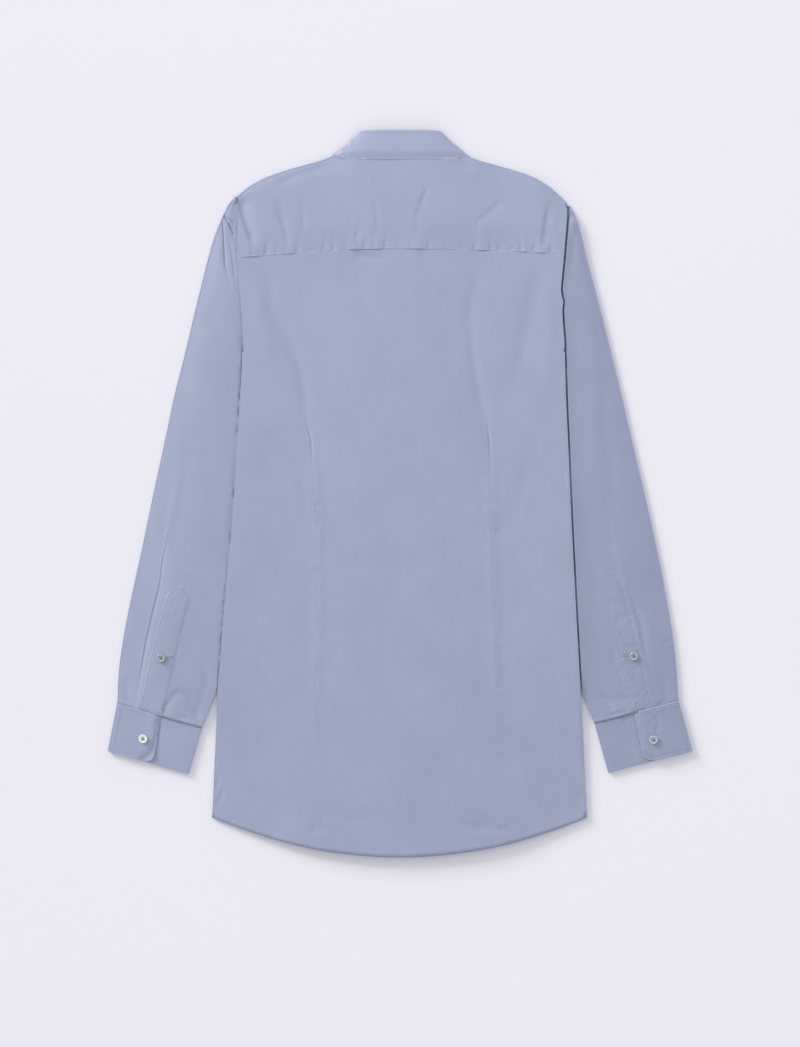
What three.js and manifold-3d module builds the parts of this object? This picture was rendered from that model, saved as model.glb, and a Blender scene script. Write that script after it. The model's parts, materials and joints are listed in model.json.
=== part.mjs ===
// A long sleeve dress shirt, buttoned and laid face down, back uppermost, with its sleeves drawn
// down beside the body and partly under it. Millimetres: +X right, +Y towards the collar, +Z up.
// Every panel is a thin wall. A point given for a panel lies on the middle of its thickness.
import * as THREE from 'three';
import Module from 'manifold-3d';
import { mergeVertices } from 'three/addons/utils/BufferGeometryUtils.js';

// Walls and clearances
const clothWall = 1.0;
const bandWall = 1.2;
const collarWall = 1.3;
const cuffWall = 1.5;
const seamGap = 0.3;
const lapClearance = 0.4;

// Lengthwise levels
const hemCentreY = -417.5;
const hemRise = 46;
const hemHalfWidth = 216;
const frontHemCentreY = -405.5;
const sideSeamHemY = -355;
const hemLean = 0.447;
const underarmY = 113;
const foldStartY = 177;
const marginDrop = { high: -232, low: -268 };

// Heights above the surface, at the middle of each wall
const floorLayer = clothWall / 2;
const sleeveFoldTop = 2.7;
const marginOverSleeve = 4.0;
const foldTop = { high: 6.2, hem: 3 };
const backCentreLevel = 6.9;
const backSag = 1.5;
const bandLevel = 3.3;
const underFrontLevel = 4.8;

// Buttons
const buttonRadius = 5;
const buttonHeight = 2.2;
const buttonHoleRadius = 0.8;
const buttonHoleSpread = 1.3;
const frontButtonTop = 240;
const frontButtonPitch = 85;
const frontButtonCount = 6;
const collarButtonY = 314.5;

// The front closure: half its band, and how far the under front reaches past the middle
const bandHalfWidth = 17;
const underFrontReach = 15;

const clothColour = 0xa0a9c2;
const cuffColour = 0xa3acc5;
const buttonColour = 0xe6eae4;

// The body's side edges as seen, and the cloth turned under past each of them
const bodyRows = [
  { y: -372, left: -216, right: 216, turned: 38 },
  { y: -294, left: -212.5, right: 212, turned: 40 },
  { y: -225, left: -209.5, right: 208.5, turned: 42 },
  { y: -163, left: -204.5, right: 205.5, turned: 45 },
  { y: -106, left: -200, right: 202.5, turned: 49 },
  { y: -18, left: -191.5, right: 198, turned: 61 },
  { y: 62, left: -187, right: 194, turned: 71 },
  { y: 113, left: -183.5, right: 192, turned: 74 },
  { y: 127, left: -182.5, right: 191.5, turned: 54 },
  { y: 145, left: -181.5, right: 191, turned: 32 },
  { y: 163, left: -181, right: 190.5, turned: 14 },
  { y: 177, left: -181, right: 190, turned: 0 },
  { y: 197, left: -181.5, right: 188.5, turned: 0 },
  { y: 208, left: -182.5, right: 187, turned: 0 },
  { y: 219, left: -183.5, right: 188.5, turned: 0 },
  { y: 231, left: -184.5, right: 186.5, turned: 0 },
  { y: 270, left: -188, right: 190, turned: 0 },
  { y: 320, left: -188, right: 193.5, turned: 0 },
  { y: 344, left: -187, right: 193.5, turned: 0 },
];

// The seam that joins the yoke to the back
const yokeSeam = [
  { x: -190, y: 270.5 },
  { x: -113, y: 276.5 },
  { x: -50, y: 280.3 },
  { x: 0, y: 281 },
  { x: 93, y: 279.5 },
  { x: 148, y: 277.3 },
  { x: 195, y: 275 },
];

// The shoulder line, where the yoke folds over to the front, by distance from the middle
const shoulderLine = [
  { x: 60, y: 389, leftShift: 0 },
  { x: 80, y: 384.6, leftShift: 0 },
  { x: 105, y: 379.2, leftShift: 0 },
  { x: 127, y: 373, leftShift: 0 },
  { x: 150, y: 365.5, leftShift: 1 },
  { x: 163, y: 358.8, leftShift: 1.5 },
  { x: 174, y: 351.5, leftShift: 2 },
  { x: 183, y: 343.5, leftShift: 2.5 },
  { x: 188, y: 338, leftShift: 3 },
  { x: 195, y: 330, leftShift: 3.5 },
];

// The back of the neck, hidden by the collar leaf, by distance from the middle
const backNeck = [
  { x: 0, y: 388 },
  { x: 50, y: 387.8 },
  { x: 58, y: 386.9 },
  { x: 62, y: 385.6 },
  { x: 65, y: 383.6 },
];
const neckWrapX = 68.4;

// The front edges, by distance from the middle: the yoke's front seam, armhole and neckline
const frontYokeSeam = { neckX: 59.6, neckY: 357, armX: 171, armY: 316 };
const frontArmhole = [
  { y: 120, x: 128 },
  { y: 138, x: 146 },
  { y: 165, x: 156 },
  { y: 197, x: 160 },
  { y: 230, x: 161 },
  { y: 262, x: 162.5 },
  { y: 290, x: 165.5 },
  { y: 316, x: 171 },
];
const neckline = [
  { y: 303.2, x: 10 },
  { y: 307, x: 18 },
  { y: 319, x: 35.5 },
  { y: 341, x: 53.2 },
  { y: 357, x: 59.6 },
];

// The two back darts: where their lines run, and how deep the cloth dips along them
const darts = {
  left: [
    { y: -320, x: -90, depth: 0 },
    { y: -247, x: -92, depth: 0.5 },
    { y: -170, x: -98, depth: 0.9 },
    { y: -90, x: -94.5, depth: 1.1 },
    { y: 0, x: -97, depth: 1.2 },
    { y: 62, x: -103, depth: 0.9 },
    { y: 151, x: -117, depth: 0.5 },
    { y: 236, x: -146, depth: 0.7 },
    { y: 280, x: -169, depth: 0 },
  ],
  right: [
    { y: -320, x: 118, depth: 0 },
    { y: -296, x: 116.5, depth: 0.4 },
    { y: -248, x: 116.5, depth: 0.8 },
    { y: -160, x: 113, depth: 1.0 },
    { y: -60, x: 107, depth: 1.1 },
    { y: 50, x: 103.5, depth: 1.2 },
    { y: 152, x: 84, depth: 0.7 },
    { y: 216, x: 88, depth: 0.5 },
    { y: 280, x: 92, depth: 0 },
  ],
};

// The broad drags in the cloth of the back and yoke, as troughs between two points
const drags = [
  { x1: -75, y1: 265, x2: -22, y2: 205, width: 9, depth: 0.8 },
  { x1: 160, y1: 270, x2: 130, y2: 120, width: 10, depth: 0.8 },
  { x1: -137, y1: 10, x2: -105, y2: -60, width: 8, depth: 0.6 },
  { x1: -40, y1: -80, x2: 70, y2: -88, width: 12, depth: 0.5 },
];

// Tucks that the yoke's topstitching draws up, each a ridge that dies away above the seam
const puckers = [
  { x: -170, width: 7, height: 0.9, reach: 64 },
  { x: -126, width: 5, height: 0.9, reach: 52 },
  { x: -112, width: 3, height: 0.6, reach: 16 },
  { x: -88, width: 3, height: 0.7, reach: 22 },
  { x: -52, width: 4, height: 0.9, reach: 46 },
  { x: -27, width: 4.5, height: 0.9, reach: 44 },
  { x: -12, width: 3, height: 0.5, reach: 18 },
  { x: 21, width: 5, height: 0.9, reach: 60 },
  { x: 33, width: 3, height: 0.5, reach: 20 },
  { x: 94, width: 5, height: 0.9, reach: 42 },
  { x: 142, width: 4, height: 0.7, reach: 28 },
  { x: 162, width: 5, height: 1.0, reach: 56 },
];

// Each sleeve from the shoulder to the cuff. A row is a section across the flattened tube: its outer
// fold, the end of its upper layer (back), the end of its lower layer (front), the height of the outer
// fold, and where the cuff pleat crosses it. From the underarm down both layers end at one seam.
const sleeveRows = {
  left: [
    { outer: [-189.2, 341.6], back: [-188.3, 338.6], front: [-187.9, 340.2], fold: 4.2, pleat: 0.3 },
    { outer: [-199, 331], back: [-184, 329], front: [-172.6, 316.4], fold: 4, pleat: 0.3 },
    { outer: [-205.5, 317], back: [-184, 312], front: [-166.5, 290], fold: 3.8, pleat: 0.3 },
    { outer: [-212.5, 300], back: [-184, 290], front: [-163.4, 262], fold: 3.5, pleat: 0.28 },
    { outer: [-219.5, 276], back: [-184, 265], front: [-161.8, 230], fold: 3.2, pleat: 0.25 },
    { outer: [-228, 241.5], back: [-180.5, 231], front: [-160.8, 197], fold: 3, pleat: 0.22 },
    { outer: [-236.5, 207], back: [-177.5, 199], front: [-156.8, 165], fold: 2.8, pleat: 0.2 },
    { outer: [-244, 174], back: [-174, 168], front: [-147, 138], fold: 2.7, pleat: 0.18 },
    { outer: [-251.5, 144], back: [-146, 140], front: [-130, 120.5], fold: 2.7, pleat: 0.17 },
    { outer: [-259.5, 113], back: [-119, 111], front: [-119, 111], fold: 2.7, pleat: 0.16 },
    { outer: [-267, 76], back: [-130, 70], front: [-130, 70], fold: 2.7, pleat: 0.155 },
    { outer: [-285, -7], back: [-154, -18], front: [-154, -18], fold: 2.7, pleat: 0.155 },
    { outer: [-298, -70], back: [-172, -84], front: [-172, -84], fold: 2.7, pleat: 0.2 },
    { outer: [-309.5, -122], back: [-187.5, -139], front: [-187.5, -139], fold: 2.7, pleat: 0.228 },
    { outer: [-319, -172], back: [-201.5, -192], front: [-201.5, -192], fold: 2.7, pleat: 0.222 },
    { outer: [-323.5, -208], back: [-212.5, -231], front: [-212.5, -231], fold: 2.8, pleat: 0.225 },
    { outer: [-324.6, -239.6], back: [-227.2, -267.2], front: [-227.2, -267.2], fold: 3, pleat: 0.23 },
  ],
  right: [
    { outer: [194.8, 330.4], back: [194.6, 327.2], front: [191.6, 330.6], fold: 4.2, pleat: 0.3 },
    { outer: [200, 322], back: [190, 319], front: [174, 316.2], fold: 4, pleat: 0.3 },
    { outer: [204.5, 311], back: [189, 306], front: [166.5, 290], fold: 3.6, pleat: 0.28 },
    { outer: [208.5, 295], back: [187.5, 287], front: [163.4, 262], fold: 3.2, pleat: 0.25 },
    { outer: [214.5, 271], back: [185, 262], front: [161.8, 230], fold: 3, pleat: 0.2 },
    { outer: [222, 241.5], back: [182.5, 231], front: [160.8, 197], fold: 2.8, pleat: 0.18 },
    { outer: [231.5, 207], back: [183.5, 199], front: [156.8, 165], fold: 2.7, pleat: 0.18 },
    { outer: [239.5, 174], back: [183, 168], front: [147, 138], fold: 2.7, pleat: 0.2 },
    { outer: [247, 144], back: [152, 140], front: [132, 120.5], fold: 2.7, pleat: 0.21 },
    { outer: [254.5, 113], back: [126, 111], front: [126, 111], fold: 2.7, pleat: 0.22 },
    { outer: [263, 76], back: [135, 70], front: [135, 70], fold: 2.7, pleat: 0.25 },
    { outer: [282.5, -7], back: [155, -18], front: [155, -18], fold: 2.7, pleat: 0.32 },
    { outer: [296.5, -70], back: [172.5, -84], front: [172.5, -84], fold: 2.7, pleat: 0.37 },
    { outer: [306.5, -122], back: [187, -139], front: [187, -139], fold: 2.7, pleat: 0.36 },
    { outer: [314.5, -172], back: [200, -192], front: [200, -192], fold: 2.7, pleat: 0.34 },
    { outer: [318, -208], back: [210, -231], front: [210, -231], fold: 2.8, pleat: 0.32 },
    { outer: [319.4, -236.3], back: [222.9, -262.1], front: [222.9, -262.1], fold: 3, pleat: 0.31 },
  ],
};

// How each upper sleeve layer lies: its crown, its lift at the armhole, and the step at its pleat
const sleeveForm = {
  left: { crown: 1.9, seamLift: 1.6, innerStep: 0.9, outerStep: -0.3 },
  right: { crown: 1.9, seamLift: 0.3, innerStep: -0.5, outerStep: 0.5 },
};

// The cuffs' four corners, where the lapping end stops, and the button's place across and down
const cuffs = {
  left: {
    outerTop: [-325, -240.4],
    innerTop: [-227.6, -268],
    innerBottom: [-243, -321.7],
    outerBottom: [-335.8, -295.3],
    lapTop: 0.52,
    lapBottom: 0.565,
    button: [0.38, 0.555],
  },
  right: {
    outerTop: [319.8, -237.1],
    innerTop: [223.3, -262.9],
    innerBottom: [239.3, -320.3],
    outerBottom: [335.8, -295.3],
    lapTop: 0.53,
    lapBottom: 0.565,
    button: [0.4, 0.6],
  },
};

// The facings on the sleeve openings, in the sleeve's own terms: its section numbers for the tip and
// the shoulder of the point, and the shares of the way across it for the two long edges
const openings = {
  left: { tip: 12.52, shoulder: 12.78, top: [0.31, 0.525], bottom: [0.25, 0.52], button: [14.2, 0.385] },
  right: { tip: 12.25, shoulder: 12.5, top: [0.385, 0.585], bottom: [0.31, 0.54], button: [14.14, 0.405] },
};

// The collar from the middle of the back to the end at the front, on the right-hand side: which way
// its outside faces (0 up, 180 down), its fold, the leaf's edge and the seam at the neck
const collarRows = [
  { turn: 0, fold: [0, 417.3, 13], edge: [0, 383.8, 9.9], seam: [0, 388.6, 8] },
  { turn: 0, fold: [28, 417.3, 12.8], edge: [34, 383.9, 9.8], seam: [32, 388.6, 8] },
  { turn: 12, fold: [45, 416.1, 11.5], edge: [58, 384.5, 9.1], seam: [54, 388.5, 7.6] },
  { turn: 50, fold: [49.6, 413, 9], edge: [71, 386, 8], seam: [62.4, 387.6, 6.6] },
  { turn: 90, fold: [51.4, 409.6, 6.2], edge: [79.2, 387.3, 4.6], seam: [66.4, 385.4, 4.8] },
  { turn: 140, fold: [50, 403, 3], edge: [80.4, 384.5, 1.1], seam: [63.8, 377, 3] },
  { turn: 180, fold: [43, 386, 1.3], edge: [80, 362, 0.7], seam: [60.5, 366, 2.8] },
  { turn: 180, fold: [30, 360, 1.3], edge: [72, 325, 0.7], seam: [52.4, 341.6, 2.8] },
  { turn: 180, fold: [15, 341, 1.4], edge: [60, 290, 0.7], seam: [34.6, 319.8, 3] },
  { turn: 180, fold: [4, 330.5, 1.6], edge: [47, 262, 0.7], seam: [12, 304.8, 3.3] },
];
const standLap = 12;
const standInset = 2.45;
const leafPoint = { x: 47, y: 262 };
const leafSide = { x: 82, y: 384 };
const overLeaf = 2.8;
const settleLength = 30;

const clamp01 = (value) => Math.min(1, Math.max(0, value));
const smooth = (value) => clamp01(value) ** 2 * (3 - 2 * clamp01(value));
const mix = (a, b, share) => a + (b - a) * share;
const range = (count) => Array.from({ length: count + 1 }, (_, i) => i / count);

// Reads a column of a table at any key, on a smooth curve that never overshoots its rows
function readTable(table, key, column, at) {
  const keys = table.map((row) => row[key]);
  const values = table.map((row) => row[column]);
  const last = keys.length - 1;
  if (at <= keys[0]) return values[0];
  if (at >= keys[last]) return values[last];
  const i = keys.findIndex((k) => k > at) - 1;
  const slopes = range(last).slice(1).map((_, n) => (values[n + 1] - values[n]) / (keys[n + 1] - keys[n]));
  const tangentAt = (n) => {
    if (n === 0 || n === last) return slopes[Math.min(n, last - 1)];
    const [before, after] = [slopes[n - 1], slopes[n]];
    return before * after <= 0 ? 0 : (2 * before * after) / (before + after);
  };
  const span = keys[i + 1] - keys[i];
  const t = (at - keys[i]) / span;
  const [start, end] = [tangentAt(i) * span, tangentAt(i + 1) * span];
  return (
    (2 * t ** 3 - 3 * t ** 2 + 1) * values[i] + (t ** 3 - 2 * t ** 2 + t) * start
    + (3 * t ** 2 - 2 * t ** 3) * values[i + 1] + (t ** 3 - t ** 2) * end
  );
}

// Reads a table by its row number, which may fall between two rows
function readRow(table, column, at) {
  const read = (pick) => {
    const numbered = table.map((row, number) => ({ number, value: pick(row[column]) }));
    return readTable(numbered, 'number', 'value', at);
  };
  const first = table[0][column];
  return Array.isArray(first) ? first.map((_, i) => read((value) => value[i])) : read((value) => value);
}

// Makes a closed wall from a grid of middle points. Cells that hasCell refuses are left out.
function clothSolid(points, thickness, hasCell = () => true) {
  const [rows, columns] = [points.length - 1, points[0].length - 1];
  const inGrid = (r, c) => r >= 0 && c >= 0 && r < rows && c < columns && hasCell(r, c);
  const normals = points.map((row) => row.map(() => new THREE.Vector3()));
  const cells = [];
  for (let r = 0; r < rows; r += 1) {
    for (let c = 0; c < columns; c += 1) {
      if (inGrid(r, c)) cells.push([r, c]);
    }
  }
  for (const [r, c] of cells) {
    const diagonal = points[r + 1][c + 1].clone().sub(points[r][c]);
    const otherDiagonal = points[r + 1][c].clone().sub(points[r][c + 1]);
    const normal = diagonal.cross(otherDiagonal).normalize();
    for (const [i, j] of [[r, c], [r, c + 1], [r + 1, c + 1], [r + 1, c]]) normals[i][j].add(normal);
  }
  const positions = [];
  const corner = ([r, c], side) => {
    const out = normals[r][c].clone().normalize().multiplyScalar((side * thickness) / 2);
    return points[r][c].clone().add(out).toArray();
  };
  const triangle = (...three) => three.forEach(([at, side]) => positions.push(...corner(at, side)));
  for (const [r, c] of cells) {
    const loop = [[r, c], [r, c + 1], [r + 1, c + 1], [r + 1, c]];
    const neighbours = [[r - 1, c], [r, c + 1], [r + 1, c], [r, c - 1]];
    triangle([loop[0], 1], [loop[1], 1], [loop[2], 1]);
    triangle([loop[0], 1], [loop[2], 1], [loop[3], 1]);
    triangle([loop[0], -1], [loop[2], -1], [loop[1], -1]);
    triangle([loop[0], -1], [loop[3], -1], [loop[2], -1]);
    neighbours.forEach(([i, j], side) => {
      if (inGrid(i, j)) return;
      const [p, q] = [loop[side], loop[(side + 1) % 4]];
      triangle([q, 1], [p, 1], [p, -1]);
      triangle([q, 1], [p, -1], [q, -1]);
    });
  }
  const geometry = new THREE.BufferGeometry();
  geometry.setAttribute('position', new THREE.Float32BufferAttribute(positions, 3));
  geometry.computeVertexNormals();
  return geometry;
}

// The body's outline and heights
const edgeX = (side, y) => readTable(bodyRows, 'y', side < 0 ? 'left' : 'right', y);
const turnedAt = (y) => readTable(bodyRows, 'y', 'turned', y);
const hemY = (x) => hemCentreY + hemRise * (x / hemHalfWidth) ** 2;
const foldTopAt = (y) => mix(foldTop.hem, foldTop.high, smooth((y + 372) / 210));
const foldHeightAt = (y) => foldTopAt(y) - marginLevel(y);
const hemLeanAt = (y) => hemLean * smooth((-300 - y) / 72);
const yokeSeamY = (x) => readTable(yokeSeam, 'x', 'y', x);
const marginShare = (y) => smooth((y - marginDrop.low) / (marginDrop.high - marginDrop.low));
const marginLevel = (y) => mix(floorLayer, marginOverSleeve, marginShare(y));
const sleeveName = (side) => (side < 0 ? 'left' : 'right');

function shoulderY(x) {
  const away = Math.abs(x);
  const shift = x < 0 ? readTable(shoulderLine, 'x', 'leftShift', away) : 0;
  return readTable(shoulderLine, 'x', 'y', away - shift);
}

function dartDip(x, y) {
  return Object.values(darts).reduce((sum, rows) => {
    const away = (x - readTable(rows, 'y', 'x', y)) / 7;
    return sum - readTable(rows, 'y', 'depth', y) * Math.exp(-(away ** 2));
  }, 0);
}

function dragDip(x, y) {
  return drags.reduce((sum, drag) => {
    const [dx, dy] = [drag.x2 - drag.x1, drag.y2 - drag.y1];
    const length = Math.hypot(dx, dy);
    const along = ((x - drag.x1) * dx + (y - drag.y1) * dy) / length ** 2;
    const away = ((x - drag.x1) * dy - (y - drag.y1) * dx) / length;
    const taper = smooth(along / 0.3 + 0.5) * smooth((1 - along) / 0.3 + 0.5);
    return sum - drag.depth * taper * Math.exp(-((away / drag.width) ** 2));
  }, 0);
}

function backZ(x, y) {
  const [left, right] = [edgeX(-1, y), edgeX(1, y)];
  const inward = clamp01(Math.min(x - left, right - x) / ((right - left) / 2));
  const edge = foldTopAt(y);
  const sag = backSag * Math.sin(Math.PI * clamp01(inward / 0.85)) ** 2 * smooth((y + 400) / 120);
  const flat = smooth(inward / 0.08);
  return mix(edge, backCentreLevel, smooth(inward / 0.6)) - sag + flat * (dartDip(x, y) + dragDip(x, y));
}

// Height of the layers next to the floor: they ride over the collar leaf near the neck
function frontZ(x, y) {
  const leafX = mix(leafPoint.x, leafSide.x, (y - leafPoint.y) / (leafSide.y - leafPoint.y));
  const beside = smooth(1 - (Math.abs(x) - leafX - 4) / settleLength);
  const below = smooth(1 - (leafPoint.y - 6 - y) / settleLength);
  return mix(floorLayer, overLeaf, beside * below);
}

// The back: columns run from the left side seam, round the left fold, over the back to the right
const foldSteps = [0, 0.22, 0.5, 0.78, 1];
const marginColumnCount = 5;
const goreShares = {
  side: [0, 0.035, 0.2, 0.45, 0.72, 0.94],
  centre: [0, 0.035, 0.16, 0.33, 0.5, 0.67, 0.84, 0.965],
};

function backColumns(y) {
  const [left, right] = [edgeX(-1, y) + clothWall / 2, edgeX(1, y) - clothWall / 2];
  const [leftDart, rightDart] = ['left', 'right'].map((name) => readTable(darts[name], 'y', 'x', y));
  return [
    ...goreShares.side.map((share) => mix(left, leftDart, share)),
    ...goreShares.centre.map((share) => mix(leftDart, rightDart, share)),
    ...goreShares.side.toReversed().map((share) => mix(right, rightDart, share)),
  ].toSpliced(14, 0, rightDart);
}

// How far in from the body's edge the hidden edge of the sleeve lies
function sleeveReachAt(side, y) {
  const below = sleeveRows[sleeveName(side)].slice(underarmRow).toReversed();
  const ends = below.map(({ back }) => ({ x: Math.abs(back[0]), y: back[1] }));
  return Math.abs(edgeX(side, y)) - readTable(ends, 'y', 'x', y) + 3;
}

// The cloth turned under: over the hidden part of the sleeve, then down beside it to the side seam
function marginPoints(side, y) {
  const radius = foldHeightAt(y) / 2;
  const reach = Math.max(turnedAt(y), radius + 0.4);
  const step = mix(radius, reach, 0.3);
  const over = Math.min(Math.max(sleeveReachAt(side, y), step), mix(step, reach, 0.88));
  const inwards = [reach, mix(over, reach, 0.6), over, mix(radius, over, 0.5), radius];
  const down = smooth((underarmY + 4 - y) / 14);
  const levels = [1, 0.72, 0, 0, 0].map((part) => mix(marginLevel(y), floorLayer, part * down));
  return inwards.map((inward, i) => new THREE.Vector3(
    edgeX(side, y) - side * (clothWall / 2 + inward), y + hemLeanAt(y) * inward, levels[i],
  ));
}

function foldPoint(side, y, share) {
  const radius = foldHeightAt(y) / 2;
  const angle = Math.PI * share;
  const x = edgeX(side, y) - side * (clothWall / 2 + radius * (1 - Math.sin(angle)));
  return new THREE.Vector3(x, y, marginLevel(y) + radius * (1 - Math.cos(angle)));
}

const sideStations = [113, 96, 76, 42, 0, -50, -100, -150, -195, -232, -250, -268, -305, -340, -372];
const backStations = [277, 256, 236, 219, 208, 197, 177, 163, 145, 127, ...sideStations];

function backGrid() {
  const [topStation, hemStation] = [backStations[0], backStations.at(-1)];
  return backStations.map((station) => {
    const share = (topStation - station) / (topStation - hemStation);
    const panel = backColumns(station).map((x, column, all) => {
      const isEdge = column === 0 || column === all.length - 1;
      const inset = isEdge && station < foldStartY ? foldHeightAt(station) / 2 : 0;
      const at = x + (column === 0 ? inset : -inset);
      const y = mix(yokeSeamY(at) + 6, hemY(at), share);
      return new THREE.Vector3(at, isEdge ? station : y, isEdge ? foldTopAt(station) : backZ(at, y));
    });
    const turn = (side) => [
      ...marginPoints(side, station),
      ...foldSteps.slice(1, -1).map((part) => foldPoint(side, station, part)),
    ];
    return [...turn(-1), ...panel, ...turn(1).toReversed()];
  });
}

function makeBack() {
  const points = backGrid();
  const turnCells = marginColumnCount + foldSteps.length - 2;
  const columns = points[0].length - 1;
  const firstTurned = backStations.findIndex((y) => y < foldStartY);
  const inPanel = (c) => c >= turnCells && c < columns - turnCells;
  return clothSolid(points, clothWall, (r, c) => r >= firstTurned || inPanel(c));
}

// The yoke: columns across, rows from the back seam up to the shoulder, over it and down the front
const yokeRise = [0, 0.07, 0.16, 0.3, 0.55, 0.8, 1];
const yokeFrontShares = [0.45, 1];
const leastColumn = 3.6;
const yokeTurnSteps = [0.33, 0.67, 1];

function puckerLift(x, above) {
  return puckers.reduce((sum, tuck) => {
    const fade = smooth(1 - above / tuck.reach);
    return sum + tuck.height * fade * Math.exp(-(((x - tuck.x) / tuck.width) ** 2));
  }, 0);
}

function yokeColumnXs() {
  const tucks = puckers.flatMap(({ x, width }) => [x - width, x, x + width]);
  const left = [-187, -182, -150, -100, -80, -neckWrapX, -65, -61];
  const right = [0, 61, 65, neckWrapX, 80, 110, 125, 152, 175, 185, 192];
  const sorted = [...tucks, ...left, ...right].sort((a, b) => a - b);
  const fixed = (x) => Math.abs(x) > 186 || [61, 65, neckWrapX].includes(Math.abs(x));
  return sorted.filter((x, i) => fixed(x) || !sorted.some((other, j) => (
    j !== i && Math.abs(other - x) < leastColumn && (j < i || Math.abs(other) > 186)
  )));
}

function yokeUpperLevel(x) {
  const nearNeck = mix(7.3, 6.2, smooth((Math.abs(x) - 40) / 60));
  return mix(nearNeck, 5.4, smooth((Math.abs(x) - 165) / 25));
}

function shoulderTurn(x, step) {
  const before = shoulderY(x - 2);
  const after = shoulderY(x + 2);
  const outward = new THREE.Vector3(before - after, 4, 0).normalize();
  const top = yokeUpperLevel(x);
  const bottom = frontZ(x, shoulderY(x));
  const radius = (top - bottom) / 2;
  const base = new THREE.Vector3(x, shoulderY(x), bottom + radius);
  base.addScaledVector(outward, -radius - clothWall / 2);
  const rise = new THREE.Vector3(0, 0, radius * Math.cos(Math.PI * step));
  return base.addScaledVector(outward, radius * Math.sin(Math.PI * step)).add(rise);
}

function yokeTopPoint(x, share) {
  const wraps = Math.abs(x) >= neckWrapX;
  const start = yokeSeamY(x);
  const neckY = readTable(backNeck, 'x', 'y', Math.abs(x));
  const topEnd = wraps ? shoulderTurn(x, 0) : new THREE.Vector3(x, neckY, yokeUpperLevel(x));
  const y = mix(start, topEnd.y, share);
  const seamLevel = backZ(x, start) + clothWall + lapClearance;
  const tuck = puckerLift(x, y - start) * smooth((1 - share) / 0.2);
  return new THREE.Vector3(mix(x, topEnd.x, share), y, mix(seamLevel, topEnd.z, smooth(share)) + tuck);
}

function yokeFrontPoint(x, share) {
  const turned = shoulderTurn(x, 1);
  const side = Math.sign(x);
  const limit = side < 0 ? 187 : 192;
  const across = clamp01((Math.abs(x) - neckWrapX) / (limit - neckWrapX));
  const { neckX, neckY, armX, armY } = frontYokeSeam;
  const seam = [side * mix(neckX, armX, across), mix(neckY, armY, across) + seamGap];
  const [px, py] = [mix(turned.x, seam[0], share), mix(turned.y, seam[1], share)];
  return new THREE.Vector3(px, py, frontZ(px, py));
}

function makeYoke() {
  const columns = yokeColumnXs();
  const points = [
    ...yokeRise.map((share) => columns.map((x) => yokeTopPoint(x, share))),
    ...yokeTurnSteps.map((step) => columns.map((x) => shoulderTurn(x, step))),
    ...yokeFrontShares.map((share) => columns.map((x) => yokeFrontPoint(x, share))),
  ];
  const lastTop = yokeRise.length - 1;
  const wraps = (c) => columns[c] >= neckWrapX || columns[c + 1] <= -neckWrapX;
  return clothSolid(points, clothWall, (r, c) => r < lastTop || wraps(c));
}

// The two fronts: rows from the front yoke seam down to the hem, columns from the side to the middle
const frontStations = [
  355.5, 349, 341, 330, 319, 316, 307, 303.4, 301, 290, 262, 230, 197, 165, 138, 120, ...sideStations,
];
const frontShares = [0, 0.12, 0.3, 0.5, 0.68, 0.84, 1];

function frontOuterX(side, y) {
  const { neckX, neckY, armX, armY } = frontYokeSeam;
  if (y > armY) return mix(armX, neckX, (y - armY) / (neckY - armY));
  const seamX = (at) => Math.abs(edgeX(side, at)) - clothWall / 2 - turnedAt(at) - seamGap;
  if (y <= underarmY) return seamX(y);
  const armhole = [{ y: underarmY, x: seamX(underarmY) }, ...frontArmhole];
  const i = armhole.findIndex((row) => row.y >= y);
  const [low, high] = [armhole[i - 1], armhole[i]];
  return mix(low.x, high.x, (y - low.y) / (high.y - low.y));
}

const frontHemY = (x) => frontHemCentreY + (sideSeamHemY - frontHemCentreY) * (x / 177.5) ** 2;

function frontGrid(side, innerX, innerLevel, settle) {
  return frontStations.map((station) => {
    const outer = side * frontOuterX(side, station);
    const neck = readTable(neckline, 'y', 'x', station);
    const inner = side * (station > 302 ? Math.max(neck, side * innerX) : side * innerX);
    const atHem = smooth((-240 - station) / (-240 - frontStations.at(-1)));
    const raised = hemLeanAt(station) * turnedAt(station);
    return frontShares.map((share) => {
      const x = mix(outer, inner, share);
      const y = station + raised + (frontHemY(x) - frontHemY(outer)) * atHem;
      const rise = smooth(1 - (x * side - bandHalfWidth - 10) / settle) * smooth((315 - y) / 14 + 0.5);
      return new THREE.Vector3(x, y, Math.max(frontZ(x, y), mix(floorLayer, innerLevel, rise)));
    });
  });
}

const makeLeftFront = () => clothSolid(frontGrid(-1, -bandHalfWidth - seamGap, bandLevel, 45), clothWall);
const makeRightFront = () => clothSolid(frontGrid(1, -underFrontReach, underFrontLevel, 60), clothWall);

// The closure band on the left front, which the buttons come through
function makeBand() {
  const topY = (x) => 303 + 0.1 * Math.abs(x);
  const points = range(10).map((share) => range(2).map((across) => {
    const x = mix(-bandHalfWidth, bandHalfWidth, across);
    return new THREE.Vector3(x, mix(topY(x), frontHemY(x), share), bandLevel);
  }));
  return clothSolid(points, bandWall);
}

// A sleeve: columns run from the armhole end of the upper layer, out over it, round the outer fold,
// back along the lower layer and, below the underarm, up to meet the upper layer again
const lowerShares = [0.3, 0.62, 0.94];
const curlSteps = [0.34, 0.67, 1];

function sleeveSection(side, row) {
  const table = sleeveRows[sleeveName(side)];
  return {
    outer: new THREE.Vector2(...readRow(table, 'outer', row)),
    back: new THREE.Vector2(...readRow(table, 'back', row)),
    front: new THREE.Vector2(...readRow(table, 'front', row)),
    fold: readRow(table, 'fold', row),
    pleat: readRow(table, 'pleat', row),
    curl: row >= underarmRow ? 1 : 0,
  };
}

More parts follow.
